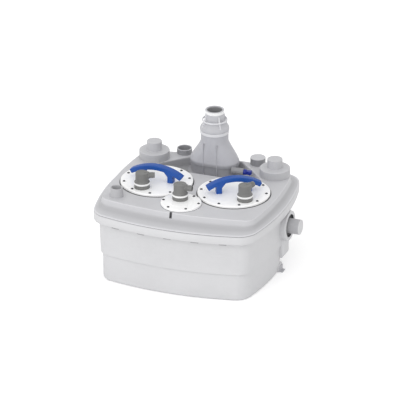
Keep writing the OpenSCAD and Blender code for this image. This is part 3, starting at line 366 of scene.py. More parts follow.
# %% Colours
def srgb(red, green, blue):
    """A colour as read off a screen, made linear."""
    def line(c):
        c /= 255
        return c / 12.92 if c <= 0.04045 else ((c + 0.055) / 1.055) ** 2.4
    return (line(red), line(green), line(blue), 1)


def grey(level, blue=3):
    """A grey with a little more blue."""
    return srgb(level, level, level + blue)


def shade(colour, share):
    """The colour made darker or lighter by a share."""
    return tuple(min(1, c * share) for c in colour[:3]) + (1,)


# %% [markdown]
# ### Moulded plastic
# Polyethylene tanks have a faint orange-peel skin, slow drifts of tone from the mould and a few
# rubbed places. Noises of different sizes give these. The grain is a shallow bump, which only shows
# as a soft break-up of the highlights. A finish can also take bands of another tone between two
# heights and a stretch of another tone towards the right. These are painted light: painted shade in
# hollows and on shaded sides, and painted highlights along lit edges.

# %% A moulded plastic
def moulded(name, colour, rough=0.46, grain=0.4, drift=0.03, scuff=0.0, coat=0.0, bands=(), right=None):
    """Moulded plastic with a drift of tone, fine grain, scuffs low down and stretches of another tone.

    A band has a low and a high end above the deck, a softness and a share of the tone. A stretch to
    the right has its start, its end and a share. Lengths are in millimetres.
    """
    f = Finish(name)
    slow = f.noise(7, 3, 0.55)
    cloudy = f.noise(60, 2, 0.5)
    tone = f.ramp(slow * 0.7 + cloudy * 0.3, 0.3, 0.7)
    base = f.blend(tone, shade(colour, 1 - drift), shade(colour, 1 + drift * 0.6))
    roughness = rough - 0.06 + 0.12 * f.noise(35, 3, 0.6)
    if scuff:
        streaks = f.ramp(f.noise(240, 4, 0.7, 1.5), 0.58, 0.72)
        near_floor = 1 - f.ramp(f.along(Z), 4 * MM, 50 * MM)
        rubbed = (streaks * near_floor * scuff).clamped()
        base = f.blend(rubbed, base, shade(colour, 0.72))
        roughness = roughness + rubbed * 0.2
    # Bands and the stretch to the right paint shade and highlights by height and by side.
    for low, high, soft, share in bands:
        above = f.ramp(f.along(Z), deck_z + (low - soft) * MM, deck_z + (low + soft) * MM)
        below = 1 - f.ramp(f.along(Z), deck_z + (high - soft) * MM, deck_z + (high + soft) * MM)
        base = f.blend(above * below, base, shade(colour, share))
    if right:
        start, end, share = right
        base = f.blend(f.ramp(f.along(X), start * MM, end * MM), base, shade(colour, share))
    grains = f.noise(900, 2, 0.5) * 0.7 + cloudy * 0.3
    return f.set(
        Base_Color=base, Roughness=roughness, Normal=f.bump(grains, 0.5, grain * MM),
        Coat_Weight=coat, IOR=1.5)


# %% Plastic finishes
# Painted shade in the lid's cove; painted highlights along the deck's crease and the flange's top edge.
lid_painted_shade_and_highlights = [(-31.5, -18, 4.5, 0.77), (-2.5, -1, 0.4, 1.18), (-35, -33.8, 0.3, 1.2)]
# Painted shade on the sides of both steps of the stepped ends, their tops left lighter.
inlet_painted_side_shade = [(-28, 26.5, 0.8, 0.86), (29.8, 57.5, 0.8, 0.9)]
# Painted highlight on the open vent's rim.
vent_rim_painted_highlight = [(17.8, 21, 0.4, 1.7)]
# Painted shade round the collector's foot, down in the pocket.
collector_foot_painted_shade = [(-78, 24, 5, 0.72)]
# Painted highlight on the ribs' feet, where the collector carries painted shade.
rib_foot_painted_highlight = [(-78, 24, 5, 1.15)]
tub_finish = moulded("tub_polyethylene", grey(209, 2), 0.5, drift=0.025, scuff=0.5)
lid_finish = moulded("lid_polyethylene", grey(198), drift=0.025, bands=lid_painted_shade_and_highlights)
inlet_finish = moulded("inlet_polyethylene", grey(194), bands=inlet_painted_side_shade)
# Painted shade: the closed vent's sides and the cock's boss are painted darker grey.
vent_and_boss_painted_shade_finish = moulded("vent_dark_polyethylene", grey(146))
# The open vent is painted darker than the lid as painted shade, with a painted highlight on its rim.
open_vent_painted_shade_finish = moulded("open_vent_polyethylene", grey(150), bands=vent_rim_painted_highlight)
vent_finish = moulded("vent_polyethylene", grey(178))
# Painted shade: the pocket is painted darker than the lid, and lighter towards its right wall as painted
# light.
pocket_finish = moulded("pocket_shaded_plastic", grey(158), 0.5, drift=0.04, right=(60, 110, 1.9))
# Painted shade in the front groove.
groove_finish = moulded("groove_shaded_plastic", grey(96, 2), 0.6, drift=0.05)
# Painted shade in the side inlets' wells.
well_painted_shade_finish = moulded("well_dark_plastic", grey(84, 2), 0.55, drift=0.06)
# Painted shade inside the outlet's bore.
bore_painted_shade_finish = moulded("bore_grey_plastic", grey(150, 2), 0.55, drift=0.05)
cover_finish = moulded("cover_white_plastic", grey(252, 0), 0.34, 0.2, 0.015, coat=0.15)
band_finish = moulded("band_white_plastic", grey(240, 0), 0.36, 0.2, 0.02)
handle_finish = moulded("handle_blue_plastic", srgb(4, 75, 160), 0.48, 0.3, 0.06)
knob_finish = moulded("knob_dark_blue_plastic", srgb(14, 40, 144), 0.36, 0.3, 0.06)
head_finish = moulded("head_grey_plastic", grey(117, -1), 0.44, drift=0.06)
collector_finish = moulded("collector_grey_plastic", grey(182, 5), 0.44, bands=collector_foot_painted_shade)
rib_finish = moulded("rib_grey_plastic", grey(176, 5), 0.44, bands=rib_foot_painted_highlight)
sleeve_finish = moulded("sleeve_soft_grey", grey(190, 4), 0.52, 0.3)
hoop_finish = moulded("hoop_pale_grey", grey(220), 0.5, 0.3)
print("plastic finishes made")

# %% [markdown]
# ### Rubber and metal
# Seals are black rubber: rough, with a dusty bloom in the noise. The screws are coated steel, dark
# with brighter rubbed spots. The pumps inside are seen only when the tank is opened, and get plain
# brushed and cast finishes.

# %% Rubber and metal
BRUSHED, EVEN = (90, 90, 2500), (300, 300, 300)


def rubber(name, colour, rough=0.62):
    f = Finish(name)
    bloom = f.ramp(f.noise(130, 4, 0.65), 0.4, 0.75)
    base = f.blend(bloom * 0.6, colour, shade(colour, 1.9))
    skin = f.noise(1400, 2)
    return f.set(
        Base_Color=base, Roughness=rough + bloom * 0.2, Normal=f.bump(skin, 0.4, 0.3 * MM), IOR=1.5)


def metal(name, colour, rough=0.32, grain=BRUSHED, rub=0.0):
    """Metal with a brushed or an even grain and, where it is coated, rubbed spots."""
    f = Finish(name)
    stretched = f.node("ShaderNodeMapping", {"Vector": f.place(), "Scale": grain})
    lines = f.node("ShaderNodeTexNoise", {"Vector": stretched, "Scale": 1.0, "Detail": 3.0})
    base = f.blend(f.ramp(lines, 0.3, 0.7), shade(colour, 0.8), shade(colour, 1.15))
    metallic = 1.0
    if rub:
        worn = f.ramp(f.noise(700, 3, 0.7), 0.55, 0.7) * rub
        base = f.blend(worn, base, (0.5, 0.5, 0.52, 1))
        metallic = 0.25 + 0.7 * worn
    return f.set(
        Base_Color=base, Roughness=rough - 0.08 + 0.2 * lines, Metallic=metallic,
        Normal=f.bump(lines, 0.25, 0.2 * MM))


# %% Rubber and metal finishes
seal_finish = rubber("seal_black_rubber", grey(38, 2))
clip_finish = rubber("clip_dark_plastic", grey(134, 2), 0.5)
screw_finish = metal("screw_coated_steel", grey(58, 4), 0.38, EVEN, 0.35)
bracket_finish = metal("bracket_grey_steel", grey(194, 4), 0.5, EVEN, 0.3)
steel_finish = metal("brushed_stainless", (0.55, 0.56, 0.58, 1))
iron_finish = metal("cast_iron", (0.11, 0.11, 0.12, 1), 0.6, EVEN)
winding_finish = metal("lacquered_copper", (0.45, 0.2, 0.09, 1), 0.35)
print("rubber and metal finishes made")

# %% [markdown]
# ## The tank's outline
# Seen from above the tank is a barrel: front, sides and back all bow outwards, and the corners are
# round. One function gives that outline at any inset, so the tub, its skirt and the lid follow each
# other exactly, as parts from one set of moulds do.

# %% The bowed outline
bow_r = 926 * MM
back_bow_r = 1400 * MM
front_corner = 32 * MM
back_corner = 36 * MM
front_points, side_points, back_points = 18, 18, 14
front_steps, back_steps = 14, 16


def bow(t, r):
    return r - sqrt(r * r - t * t)


def corner_arc(a, b, c, steps):
    """Points of a square corner made round from a to c, both ends left out."""
    return [tuple(p) for p in round_corner(*np.array((a, b, c)), sqrt(0.5), steps)[1:-1]]


def barrel(hw, yf, yb, rf, rb, front_r=bow_r, side_r=bow_r):
    """Counter-clockwise outline from the middle of the front: bowed edges and round corners."""
    fy = yf + bow(hw - rf / 2, front_r)
    by = yb - bow(hw - rb / 2, back_bow_r)
    fx, bx = hw - bow(fy, side_r), hw - bow(by, side_r)
    f1 = (fx - rf, yf + bow(fx - rf, front_r))
    f2 = (hw - bow(fy + rf, side_r), fy + rf)
    b1 = (hw - bow(by - rb, side_r), by - rb)
    b2 = (bx - rb, yb - bow(bx - rb, back_bow_r))
    half = [(x, yf + bow(x, front_r)) for x in np.linspace(0, f1[0], front_points)]
    half += corner_arc(f1, (fx, fy), f2, front_steps)
    half += [(hw - bow(y, side_r), y) for y in np.linspace(f2[1], b1[1], side_points)]
    half += corner_arc(b1, (bx, by), b2, back_steps)
    half += [(x, yb - bow(x, back_bow_r)) for x in np.linspace(b2[0], 0, back_points)]
    return half + [(-x, y) for x, y in half[-2:0:-1]]


# %% Outlines at an inset
def outline(inset, back=None, rf=front_corner, rb=back_corner):
    """The rim's outline moved in by an inset, and at the back by one of its own."""
    back = inset if back is None else back
    return barrel(half_w - inset, rim_front + inset, rim_back - back, rf, rb)


def at_height(line, z):
    return [(x, y, z) for x, y in line]


def rim_rings(steps):
    """Rings of the rim's outline from pairs of a height in metres and an inset in millimetres."""
    return [at_height(outline(inset * MM), z) for z, inset in steps]


print("outline points:", len(outline(0)))

# %% [markdown]
# ## The tub
# The tub is one blow-moulded shell: a rounded foot, a wall with a small step part of the way up and
# a skirt that turns down under the rim. It could be a box with bevels, but the bow and the slope at
# the back would be lost, so it is a loft. The list of rings reads from the floor to the rim, and the
# skirt's channel is part of it.

# %% Rings of the tub
foot_round, foot_inset, foot_back = 8, 30.5, 121.8
step_z = 96 * MM
foot_corner, tub_corner, tub_front_corner = 110 * MM, 95 * MM, 24 * MM
skirt_z = tub_top - 28 * MM
channel_z = tub_top - 6 * MM


def tub_rings():
    """Foot, wall and skirt; insets from the rim at the sides and at the back are in millimetres."""
    walls = []
    for a in np.linspace(0, pi / 2, 6):
        curl = foot_round * (1 - sin(a))
        walls.append((foot_round * (1 - cos(a)) * MM, foot_inset + curl, foot_back + curl, foot_corner))
    walls += [(step_z - 36 * MM, 29.6, 123, foot_corner), (step_z - 30 * MM, 29.5, 112, foot_corner)]
    step = [
        (-5, 29, 54), (-2.4, 28.8, 44), (-1.8, 28, 41), (-1.4, 24.4, 38), (-0.4, 23.1, 37), (1.5, 22.9, 36.6)]
    walls += [(step_z + rise * MM, inset, back, tub_corner) for rise, inset, back in step]
    walls += [(channel_z - 3 * MM, 17.4, 35, tub_corner), (channel_z, 15, 33, tub_corner)]
    rings = []
    for z, inset, back, rb in walls:
        rings.append(at_height(outline(inset * MM, back * MM, tub_front_corner, rb), z))
    return rings + rim_rings([
        (channel_z, 5), (channel_z - 1 * MM, 4), (skirt_z + 1 * MM, 4), (skirt_z, 3), (skirt_z, 1.2),
        (skirt_z + 0.4 * MM, 0.4), (skirt_z + 1.2 * MM, 0), (tub_top - 1.5 * MM, 0),
        (tub_top - 0.5 * MM, 0.5), (tub_top, 1.5)])


# %% Blocks on the tub's sides
inlet_low, inlet_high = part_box("side_inlet_right")
seat_x = inlet_low.x + 6 * MM
pad_r, pad_depth = 51, 30
block_depth, block_front, block_back, block_low = 90 * MM, 22 * MM, 44 * MM, 46 * MM
bracket_lap, bracket_depth, bracket_side, bracket_top = 7 * MM, 20 * MM, 3 * MM, 26 * MM
block_bevel, bracket_bevel = 5 * MM, 2 * MM


def bevelled_box(low, high, width, segments=3):
    """A box between two corners with rounded edges."""
    bm = bmesh.new()
    bmesh.ops.create_cube(bm, size=1)
    low, high = Vector(low), Vector(high)
    for v in bm.verts:
        v.co = (low + high) / 2 + Vector(a * b for a, b in zip(v.co, high - low))
    bmesh.ops.bevel(bm, geom=bm.edges[:], offset=width, segments=segments, profile=0.5, affect="EDGES")
    return shape_of(mesh_from(bm))


def side_box(sign, low, high, width, segments):
    """A rounded box on the right side, or its mirror image on the left."""
    near, far = sorted((sign * low[0], sign * high[0]))
    return bevelled_box((near, low[1], low[2]), (far, high[1], high[2]), width, segments)


def side_blocks():
    """The flat blocks of the wall, the round pads of the side inlets and the blocks of the brackets."""
    inlet = middle("side_inlet_right")
    foot_low, foot_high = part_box("floor_bracket_right")
    block_x = seat_x - 1 * MM
    wall_low = (block_x - block_depth, inlet.y - block_front, block_low)
    wall_high = (block_x, inlet.y + block_back, channel_z + 1 * MM)
    bracket_x = foot_low.x + bracket_lap
    bracket_low = (bracket_x - bracket_depth, foot_low.y - bracket_side, 0)
    bracket_high = (bracket_x, foot_high.y + bracket_side, bracket_top)
    pad = [(0, -pad_depth), (pad_r, -pad_depth), (pad_r, 0), (0, 0)]
    parts = []
    for sign in (-1, 1):
        parts.append(side_box(sign, wall_low, wall_high, block_bevel, 4))
        parts.append(turned(pad, 1.5, (sign * seat_x, inlet.y, inlet.z), (sign, 0, 0)))
        parts.append(side_box(sign, bracket_low, bracket_high, bracket_bevel, 3))
    return parts


# %% Loft the tub
tub = piece("tub_shell", gather(loft(tub_rings()), *side_blocks()), tub_finish, "tub")
print("tub faces:", len(tub.data.polygons))

# %% [markdown]
# ## The lid
# The lid starts with a thin flange on the rim, sweeps in through a broad cove and rises in a steep
# wall to a crisp edge round the deck. The deck's outline is straighter than the rim's, so the cove
# is wide at the middle of the front and narrow at the sides, and its rings are blends of the two
# outlines. The deck is a flat face with the collector's pocket in it, and Blender's triangle fill
# closes such a face from its edges alone. One groove at the front runs over the deck's edge, where
# no row of faces follows it, so it is the only form here that is cut with a boolean.

# %% Deck, pocket and groove
rim_edge = 1 * MM
rim_z = flange_z + 2.5 * MM
wall_z = deck_z - 15 * MM
wall_draft = 4 * MM
crease_r = 2 * MM
deck_front, deck_side, deck_back = 60 * MM, 28 * MM, 42 * MM
deck_round, deck_round_back = 18 * MM, 52 * MM
deck_front_bow, deck_side_bow = 1150 * MM, 1100 * MM
groove_x, groove_half = -7 * MM, 4.3 * MM
groove_out, groove_in, groove_under, groove_over = 20 * MM, 6 * MM, 3 * MM, 9 * MM
pocket_edge = 2.5 * MM
pocket_z = bottom("collector_seal")
pocket_front = collector.y - 76 * MM
pocket_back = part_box("collector_seal")[1].y + 4 * MM
pocket_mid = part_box("cover_seal_left")[1].y + 4 * MM


def deck_line(shrink):
    """Outline of the deck, moved inwards by a shrink."""
    return barrel(
        half_w - deck_side - shrink, rim_front + deck_front + shrink, rim_back - deck_back - shrink,
        deck_round - shrink, deck_round_back - shrink, deck_front_bow, deck_side_bow)


def pocket_line(grow):
    """Outline of the collector's pocket, grown outwards, with round corners."""
    side = [
        (64 * MM + grow, pocket_front - grow), (110 * MM + grow, pocket_mid - grow),
        (185 * MM + 2 * grow, pocket_mid + 4 * MM - grow),
        (116 * MM + grow, collector.y + 19 * MM + grow), (74 * MM + grow, pocket_back + grow),
    ]
    corners = side + [(-x, y) for x, y in reversed(side)]
    return [tuple(p) for p in fillet(corners, 9 * MM, 6, closed=True)]


def groove_cutter():
    """A block that cuts an upright groove into the wall, from just below its foot to above the deck."""
    y = rim_front + deck_front
    low = (groove_x - groove_half, y - groove_out, wall_z - groove_under)
    high = (groove_x + groove_half, y + groove_in, deck_z + groove_over)
    return bevelled_box(low, high, 1 * MM)


# %% Flat faces and recesses
def filled(loops, z):
    """A flat face at height z that looks up, inside the first loop and outside the others."""
    bm = bmesh.new()
    edges = []
    for loop in loops:
        verts = [bm.verts.new((x, y, z)) for x, y in loop]
        edges += [bm.edges.new((a, b)) for a, b in zip(verts, verts[1:] + verts[:1])]
    bmesh.ops.triangle_fill(bm, use_beauty=True, use_dissolve=False, edges=edges, normal=(0, 0, 1))
    for face in bm.faces:
        face.normal_update()
        if face.normal.z <= 0:
            face.normal_flip()
    return shape_of(mesh_from(bm))


def sunk(line, floor_z, edge):
    """Walls and floor of a recess in the deck, with a rolled edge and a round bottom."""
    steps = [(floor_z, -edge), (floor_z + 0.3 * edge, -0.35 * edge), (floor_z + edge, 0)]
    steps += [(deck_z - edge, 0), (deck_z - 0.3 * edge, 0.35 * edge), (deck_z, edge)]
    verts, faces = loft([at_height(line(grow), z) for z, grow in steps], False, False)
    walls = verts, [tuple(reversed(face)) for face in faces]
    return gather(walls, filled([line(-edge)], floor_z))


# %% Rings of the lid
def lid_rings():
    """Flange, cove, crease and the deck's border."""
    rings = rim_rings([
        (flange_z, 12), (flange_z, 1.2), (flange_z + 0.4 * MM, 0.4), (flange_z + 1.2 * MM, 0),
        (rim_z - rim_edge, 0), (rim_z - 0.3 * MM, 0.3)])
    low, high = np.array(outline(rim_edge)), np.array(deck_line(-wall_draft))
    for a in np.linspace(0, pi / 2, 16):
        rings.append(at_height(low + (high - low) * sin(a), wall_z - (wall_z - rim_z) * cos(a)))
    for a in np.linspace(0, pi / 2, 5):
        rings.append(at_height(deck_line(crease_r * (1 - cos(a))), deck_z - crease_r * (1 - sin(a))))
    rings.append(at_height(deck_line(2 * crease_r), deck_z))
    return rings


# %% A cut with a boolean
def cut_groove(parts, cutter):
    """Cuts a form out of the closed form that the parts make; returns each part and the cut."""
    objects = []
    for group in (list(enumerate(parts)), [(len(parts), cutter)]):
        bm = bmesh.new()
        for k, (verts, faces) in group:
            corners = [bm.verts.new(v) for v in verts]
            for face in faces:
                bm.faces.new([corners[i] for i in face]).material_index = k
        bmesh.ops.remove_doubles(bm, verts=bm.verts[:], dist=1e-6)
        bmesh.ops.recalc_face_normals(bm, faces=bm.faces[:])
        mesh = mesh_from(bm)
        for finish in (lid_finish, pocket_finish, groove_finish):
            mesh.materials.append(finish)
        objects.append(add_object("cut", mesh))
    body, tool = objects
    modifier = body.modifiers.new("cut", "BOOLEAN")
    modifier.object = tool
    modifier.solver = "EXACT"
    mesh = evaluated(body)
    results = []
    for k in range(len(parts) + 1):
        faces = [tuple(p.vertices) for p in mesh.polygons if p.material_index == k]
        used = sorted({i for face in faces for i in face})
        place = {i: n for n, i in enumerate(used)}
        verts = [tuple(mesh.vertices[i].co) for i in used]
        results.append((verts, [tuple(place[i] for i in face) for face in faces]))
    for obj in objects:
        bpy.data.objects.remove(obj)
    bpy.data.meshes.remove(mesh)
    return results


# %% Loft the lid
deck = filled([deck_line(2 * crease_r), pocket_line(pocket_edge)], deck_z)
shell = gather(loft(lid_rings(), True, False), deck)
pocket = sunk(pocket_line, pocket_z, pocket_edge)
shell, pocket, groove = cut_groove([shell, pocket], groove_cutter())
# The lid's finish puts painted shade in the cove and painted highlights along the crease and the flange's top
# edge.
lid = piece("lid_shell", shell, lid_finish, "lid")
# The pocket is painted darker as shade, and lighter towards its right wall as painted light.
piece("collector_pocket", pocket, pocket_finish)
# The groove's faces are painted dark grey as shade.
piece("front_groove_lining", groove, groove_finish)
print("lid faces:", len(lid.data.polygons), "groove faces:", len(groove[1]))

# %% [markdown]
# ## Pipe ends on the lid
# Two wide stepped ends are moulded shut and are cut open on site where a pipe is needed. Two vents
# and a short port stand beside them. All of them are round, so a profile turned about its axis is
# all they need. The vents are painted darker than the lid as painted shade, the sides of the
# stepped ends carry painted shade and the open vent's rim a painted highlight.

# %% Lathe the pipe ends
def stepped_inlet(place):
    """Closed end with a wide and a narrow step."""
    profile = [(50, -24), (50, 28), (25, 28), (25, 59), (0, 59)]
    return turned(profile, [0, 2.2, 1.5, 2, 0], place)


def pipe_foot(place, r):
    """Thin round foot that reaches down to the cove where a pipe stands over the deck's edge."""
    return turned([(r, -32), (r, 1), (0, 1)], [0, 0.5, 0], place)


def open_pipe(place, low_r, high_r, bore, height):
    """Open tube with a rounded mouth and a floor just above its foot."""
    profile = [(low_r, 0), (high_r, height), (bore, height), (bore, 1.4), (0, 1.4)]
    return turned(profile, [0, 1.2, 1.2, 1, 0], place)


inlet_x, inlet_y = half_w - 94 * MM, rim_back - 113.8 * MM
vent_x, vent_y = half_w - 175.8 * MM, rim_back - 49.6 * MM
vent_left, vent_right = (-vent_x, vent_y, deck_z), (vent_x, vent_y, deck_z)
port = (86 * MM - half_w, rim_front + 122 * MM, deck_z)
cover_rise = (cover_top - deck_z) / MM
vent_r, open_rise, closed_rise, cap_rise = 25, cover_rise + 11.5, cover_rise + 17, 2
cap_low = closed_rise - cap_rise
# The stepped ends' finish paints shade on the sides of both steps, so their tops are lighter.
inlets = gather(*(stepped_inlet((x, inlet_y, deck_z)) for x in (inlet_x, -inlet_x)))
piece("stepped_inlets", inlets, inlet_finish)
feet = gather(pipe_foot(vent_left, 27), pipe_foot(vent_right, 27), pipe_foot(port, 23.6))
piece("pipe_feet", feet, lid_finish)
# The open vent is painted darker as shade, with a painted highlight on its rim.
open_vent = open_pipe(vent_left, vent_r, vent_r, 21.5, open_rise)
piece("open_vent", open_vent, open_vent_painted_shade_finish, "open_pipes")
piece("front_port", open_pipe(port, 23, 20.5, 16, 31.5), vent_finish)
# The closed vent's sides carry painted shade; its cap keeps the lid's grey, so its top is lighter.
closed_vent = turned([(vent_r, 0), (vent_r, cap_low)], 0, vent_right)
piece("closed_vent", closed_vent, vent_and_boss_painted_shade_finish)
vent_cap = turned([(vent_r, cap_low), (vent_r, closed_rise), (0, closed_rise)], [0, 1.9, 0], vent_right)
piece("closed_vent_cap", vent_cap, lid_finish)
print("vents rise", open_rise, "and", closed_rise, "mm above the deck")

# %% [markdown]
# ## Covers and seals
# Each pump hangs under a white disc that is screwed down on a rubber ring. A lathe gives the disc its
# rounded edge, which reaches down over the ring. The ring shows as a thin dark line beside it, which
# is what separates white from grey in the photograph, so it is a piece of its own.

# %% Lathe the covers and seals
def round_band(inner, outer, low, high, centre, rounding=(0, 0.5, 0.5, 0.2, 0), segments=96):
    """A closed ring between two radii and two heights, in millimetres."""
    corners = [(inner, low), (outer, low), (outer, high), (inner, high), (inner, low)]
    return turned(corners, rounding, centre, segments=segments)


cover_thick = (cover_top - cover_low) / MM
skirt_low = (deck_z - cover_low) / MM + 0.2
skirt_w, border_w, field_rise = 3, 26, 0.35
seal_rise = 1
for name, centre in covers.items():
    r, field_h = radius("cover_" + name) / MM, cover_thick + field_rise
    disc = [(0, 0), (r - skirt_w, 0), (r - skirt_w, skirt_low), (r, skirt_low), (r, cover_thick)]
    disc += [(r - border_w, cover_thick), (r - border_w - 1, field_h), (0, field_h)]
    place = (centre.x, centre.y, cover_low)
    shape = turned(disc, [0, 0, 0, 0.4, 2, 0.3, 0.3, 0], place, segments=160)
    piece("cover_disc_" + name, shape, cover_finish, "cover_" + name)
    seal_r, place = radius("cover_seal_" + name) / MM, (centre.x, centre.y, deck_z)
    shape = round_band(r + 0.1, seal_r, 0, seal_rise, place, (0, 0, 0.3, 0.2, 0), 160)
    piece("seal_ring_" + name, shape, seal_finish, "cover_seal_" + name)
print("covers:", {name: round(radius("cover_" + name), 4) for name in covers})

# %% [markdown]
# ## Screws, in Geometry Nodes
# The screws are the same piece over and over on a circle, which is what Geometry Nodes are for. One
# tree takes a piece, a count, a radius, a start angle and a centre, and is used for every ring of
# screws and for the fins of the sleeve. A second one walks along a line, for the clips under the rim.
# The result is made a plain mesh, because an export drops instances.

# %% A tree that sets copies
class Copier(Tree):
    """A tree that sets copies of a piece on points, makes them real and paints them."""

    def __init__(self, name, **kinds):
        super().__init__(bpy.data.node_groups.new(name, "GeometryNodeTree"))
        face = self.tree.interface
        self.keys = {}
        for label, kind in kinds.items():
            socket = face.new_socket(label, in_out="INPUT", socket_type="NodeSocket" + kind)
            self.keys[label] = socket.identifier
        face.new_socket("Geometry", in_out="OUTPUT", socket_type="NodeSocketGeometry")
        given = self.tree.nodes.new("NodeGroupInput")
        self.given = {label: Value(self, given.outputs[label]) for label in kinds}

    def copies(self, points, rotation):
        what = self.node("GeometryNodeObjectInfo", {"Object": self.given["Piece"]}, "Geometry")
        return self.node(
            "GeometryNodeInstanceOnPoints", {"Points": points, "Instance": what, "Rotation": rotation})

    def finish(self, geometry):
        real = self.node("GeometryNodeRealizeInstances", {0: geometry})
        painted = self.node(
            "GeometryNodeSetMaterial", {"Geometry": real, "Material": self.given["Finish"]})
        self.put(self.tree.nodes.new("NodeGroupOutput").inputs[0], painted)
        return self

    def run(self, base=None, **values):
        """Runs the tree once and returns the vertices and faces that it makes."""
        obj = add_object("seed", base or bpy.data.meshes.new("seed"))
        modifier = obj.modifiers.new("tree", "NODES")
        modifier.node_group = self.tree
        for label, value in values.items():
            modifier[self.keys[label]] = value
        shape = shape_of(evaluated(obj))
        bpy.data.objects.remove(obj)
        return shape


# %% Copies on a circle and on a line
def circle_copier():
    """Sets pieces round a circle, each turned to face outwards."""
    c = Copier(
        "set_round_a_circle", Piece="Object", Count="Int", Radius="Float", Start="Float", Centre="Vector",
        Finish="Material")
    count = c.given["Count"]
    circle = c.node("GeometryNodeMeshCircle", {"Vertices": count, "Radius": c.given["Radius"]})
    turn = c.node("GeometryNodeInputIndex") * (2 * pi / count)
    copies = c.copies(circle, c.node("ShaderNodeCombineXYZ", {"Z": turn}))
    start = c.node("ShaderNodeCombineXYZ", {"Z": c.given["Start"]})
    return c.finish(c.node(
        "GeometryNodeTransform",
        {"Geometry": copies, "Translation": c.given["Centre"], "Rotation": start}))


def line_copier():
    """Sets pieces at even steps along a line, each turned along it."""
    c = Copier("set_along_a_line", Line="Geometry", Piece="Object", Count="Int", Finish="Material")
    curve = c.node("GeometryNodeMeshToCurve", {"Mesh": c.given["Line"]})
    even = c.node("GeometryNodeResampleCurve", {"Curve": curve, "Count": c.given["Count"]})
    tangent = c.node("GeometryNodeInputTangent")
    way = c.node("FunctionNodeAlignRotationToVector", {"Vector": tangent}, axis="X", pivot_axis="Z")
    return c.finish(c.copies(even, way))


round_a_circle, along_a_line = circle_copier(), line_copier()


# %% Screws of the covers
def screw_shape(head_r, head_h):
    """Pan-head screw with a washer and a six-point recess, its seat at z = 0; sizes in millimetres."""
    washer_r, washer_h = head_r * 1.28, 0.7
    line = [(0, 0), (washer_r, 0), (washer_r, washer_h), (head_r, washer_h)]
    head = [(1, 0.55), (0.93, 0.8), (0.74, 1), (0.5, 1), (0.46, 0.94), (0.44, 0.5), (0, 0.45)]
    line += [(head_r * r, head_h * h) for r, h in head]
    verts, faces = turned(line, [0, 0.25, 0.25] + [0] * 8, segments=24, steps=2)
    for k, (x, y, z) in enumerate(verts):
        if 0 < sqrt(x * x + y * y) < head_r * 0.52 * MM:
            wave = 1 - 0.2 * (0.5 - 0.5 * cos(6 * atan2(y, x)))
            verts[k] = (x * wave, y * wave, z)
    return verts, faces


screw = mesh_object("screw", screw_shape(3.7, 2.4))
screw_rings = []
for name, count, inset, start in (("left", 10, 11.5, 26), ("right", 10, 11.5, 11), ("middle", 6, 7.5, 5)):
    screw_rings.append(round_a_circle.run(
        Piece=screw, Count=count, Radius=radius("cover_" + name) - inset * MM, Start=radians(start),
        Centre=(covers[name].x, covers[name].y, cover_top), Finish=screw_finish))
piece("cover_screw_heads", gather(*screw_rings), screw_finish, "cover_screws")
bpy.data.objects.remove(screw)
print("screw rings:", len(screw_rings))

# %% [markdown]
# ## Handles
# A handle is an arched strap with two feet, a small gusset inside each foot and short tails beyond
# them. Its side view is drawn with arcs and made thick, which keeps the strap's thickness even. A
# filled curve with a bevel does that and rounds every edge on the way.

# %% Outlines made thick
def plate(points, thickness, bevel, place):
    """A flat outline made thick with rounded edges, then placed by a matrix."""
    curve = bpy.data.curves.new("plate", "CURVE")
    curve.dimensions = "2D"
    curve.fill_mode = "BOTH"
    curve.extrude = thickness / 2 - bevel
    curve.bevel_depth = bevel
    curve.bevel_resolution = 3
    curve.offset = -bevel
    spline = curve.splines.new("POLY")
    spline.points.add(len(points) - 1)
    for point, p in zip(spline.points, points):
        point.co = (p[0], p[1], 0, 1)
    spline.use_cyclic_u = True
    obj = add_object("plate", curve)
    mesh = evaluated(obj)
    mesh.transform(place)
    bpy.data.objects.remove(obj)
    bpy.data.curves.remove(curve)
    return shape_of(mesh)


# %% Draw a handle
strap_t, strap_w, strap_bevel = 15 * MM, 25 * MM, 2.4 * MM
rise, half_len, foot_half, foot_w = 53 * MM, 88.5 * MM, 50 * MM, 18 * MM
tail_rise, gusset, handle_round = 19.5 * MM, 12 * MM, 2.2 * MM
sharp_corner = radians(165)
sag = rise - strap_t / 2 - tail_rise
strap_r = (half_len ** 2 + sag ** 2) / (2 * sag)
hub_z = rise - strap_t / 2 - strap_r
sweep = asin(half_len / strap_r)


def handle_line():
    """Side view of a handle, counter-clockwise from the right foot's gusset."""
    outer, inner = strap_r + strap_t / 2, strap_r - strap_t / 2
    foot_in, foot_out = foot_half - foot_w / 2, foot_half + foot_w / 2

    def on(r, a):
        return (r * sin(a), hub_z + r * cos(a))

    def under(x):
        return (x, hub_z + sqrt(inner * inner - x * x))

    half = [under(foot_in - gusset), (foot_in, under(foot_in)[1] - gusset)]
    half += [(foot_in, 0), (foot_out, 0), under(foot_out)]
    half += [on(inner, a) for a in np.linspace(asin(foot_out / inner), sweep, 7)[1:]]
    half += [on(outer, a) for a in np.linspace(sweep, 0, 24)]
    line = half + [(-x, y) for x, y in reversed(half[:-1])]
    line += [under(x) for x in np.linspace(gusset - foot_in, foot_in - gusset, 22)[1:-1]]
    soft = [0.0] * len(line)
    for k, p in enumerate(line):
        before, after = Vector(line[k - 1]) - Vector(p), Vector(line[(k + 1) % len(line)]) - Vector(p)
        if before.angle(after) < sharp_corner and p[1] > 1e-5:
            soft[k] = handle_round
    return fillet(line, soft, 4, closed=True)


# %% Place the handles
for name, turn in (("left", -2), ("right", 32)):
    place = Matrix.Translation((covers[name].x, covers[name].y, cover_top))
    place = place @ Matrix.Rotation(radians(turn), 4, "Z") @ Matrix.Rotation(pi / 2, 4, "X")
    shape = plate(handle_line(), strap_w, strap_bevel, place)
    node = "handle_" + name
    piece("lifting_" + node, shape, handle_finish, node, sharp=radians(50))
print("handle arc radius", round(strap_r, 4))

# %% [markdown]
# ## Level heads
# Three grey heads close the tubes that feel the water level by air pressure. Each is a stub with a
# white band, a narrower body with a soft top and a nozzle for a thin hose. Two lathed forms, one of
# them lying down, make a head.

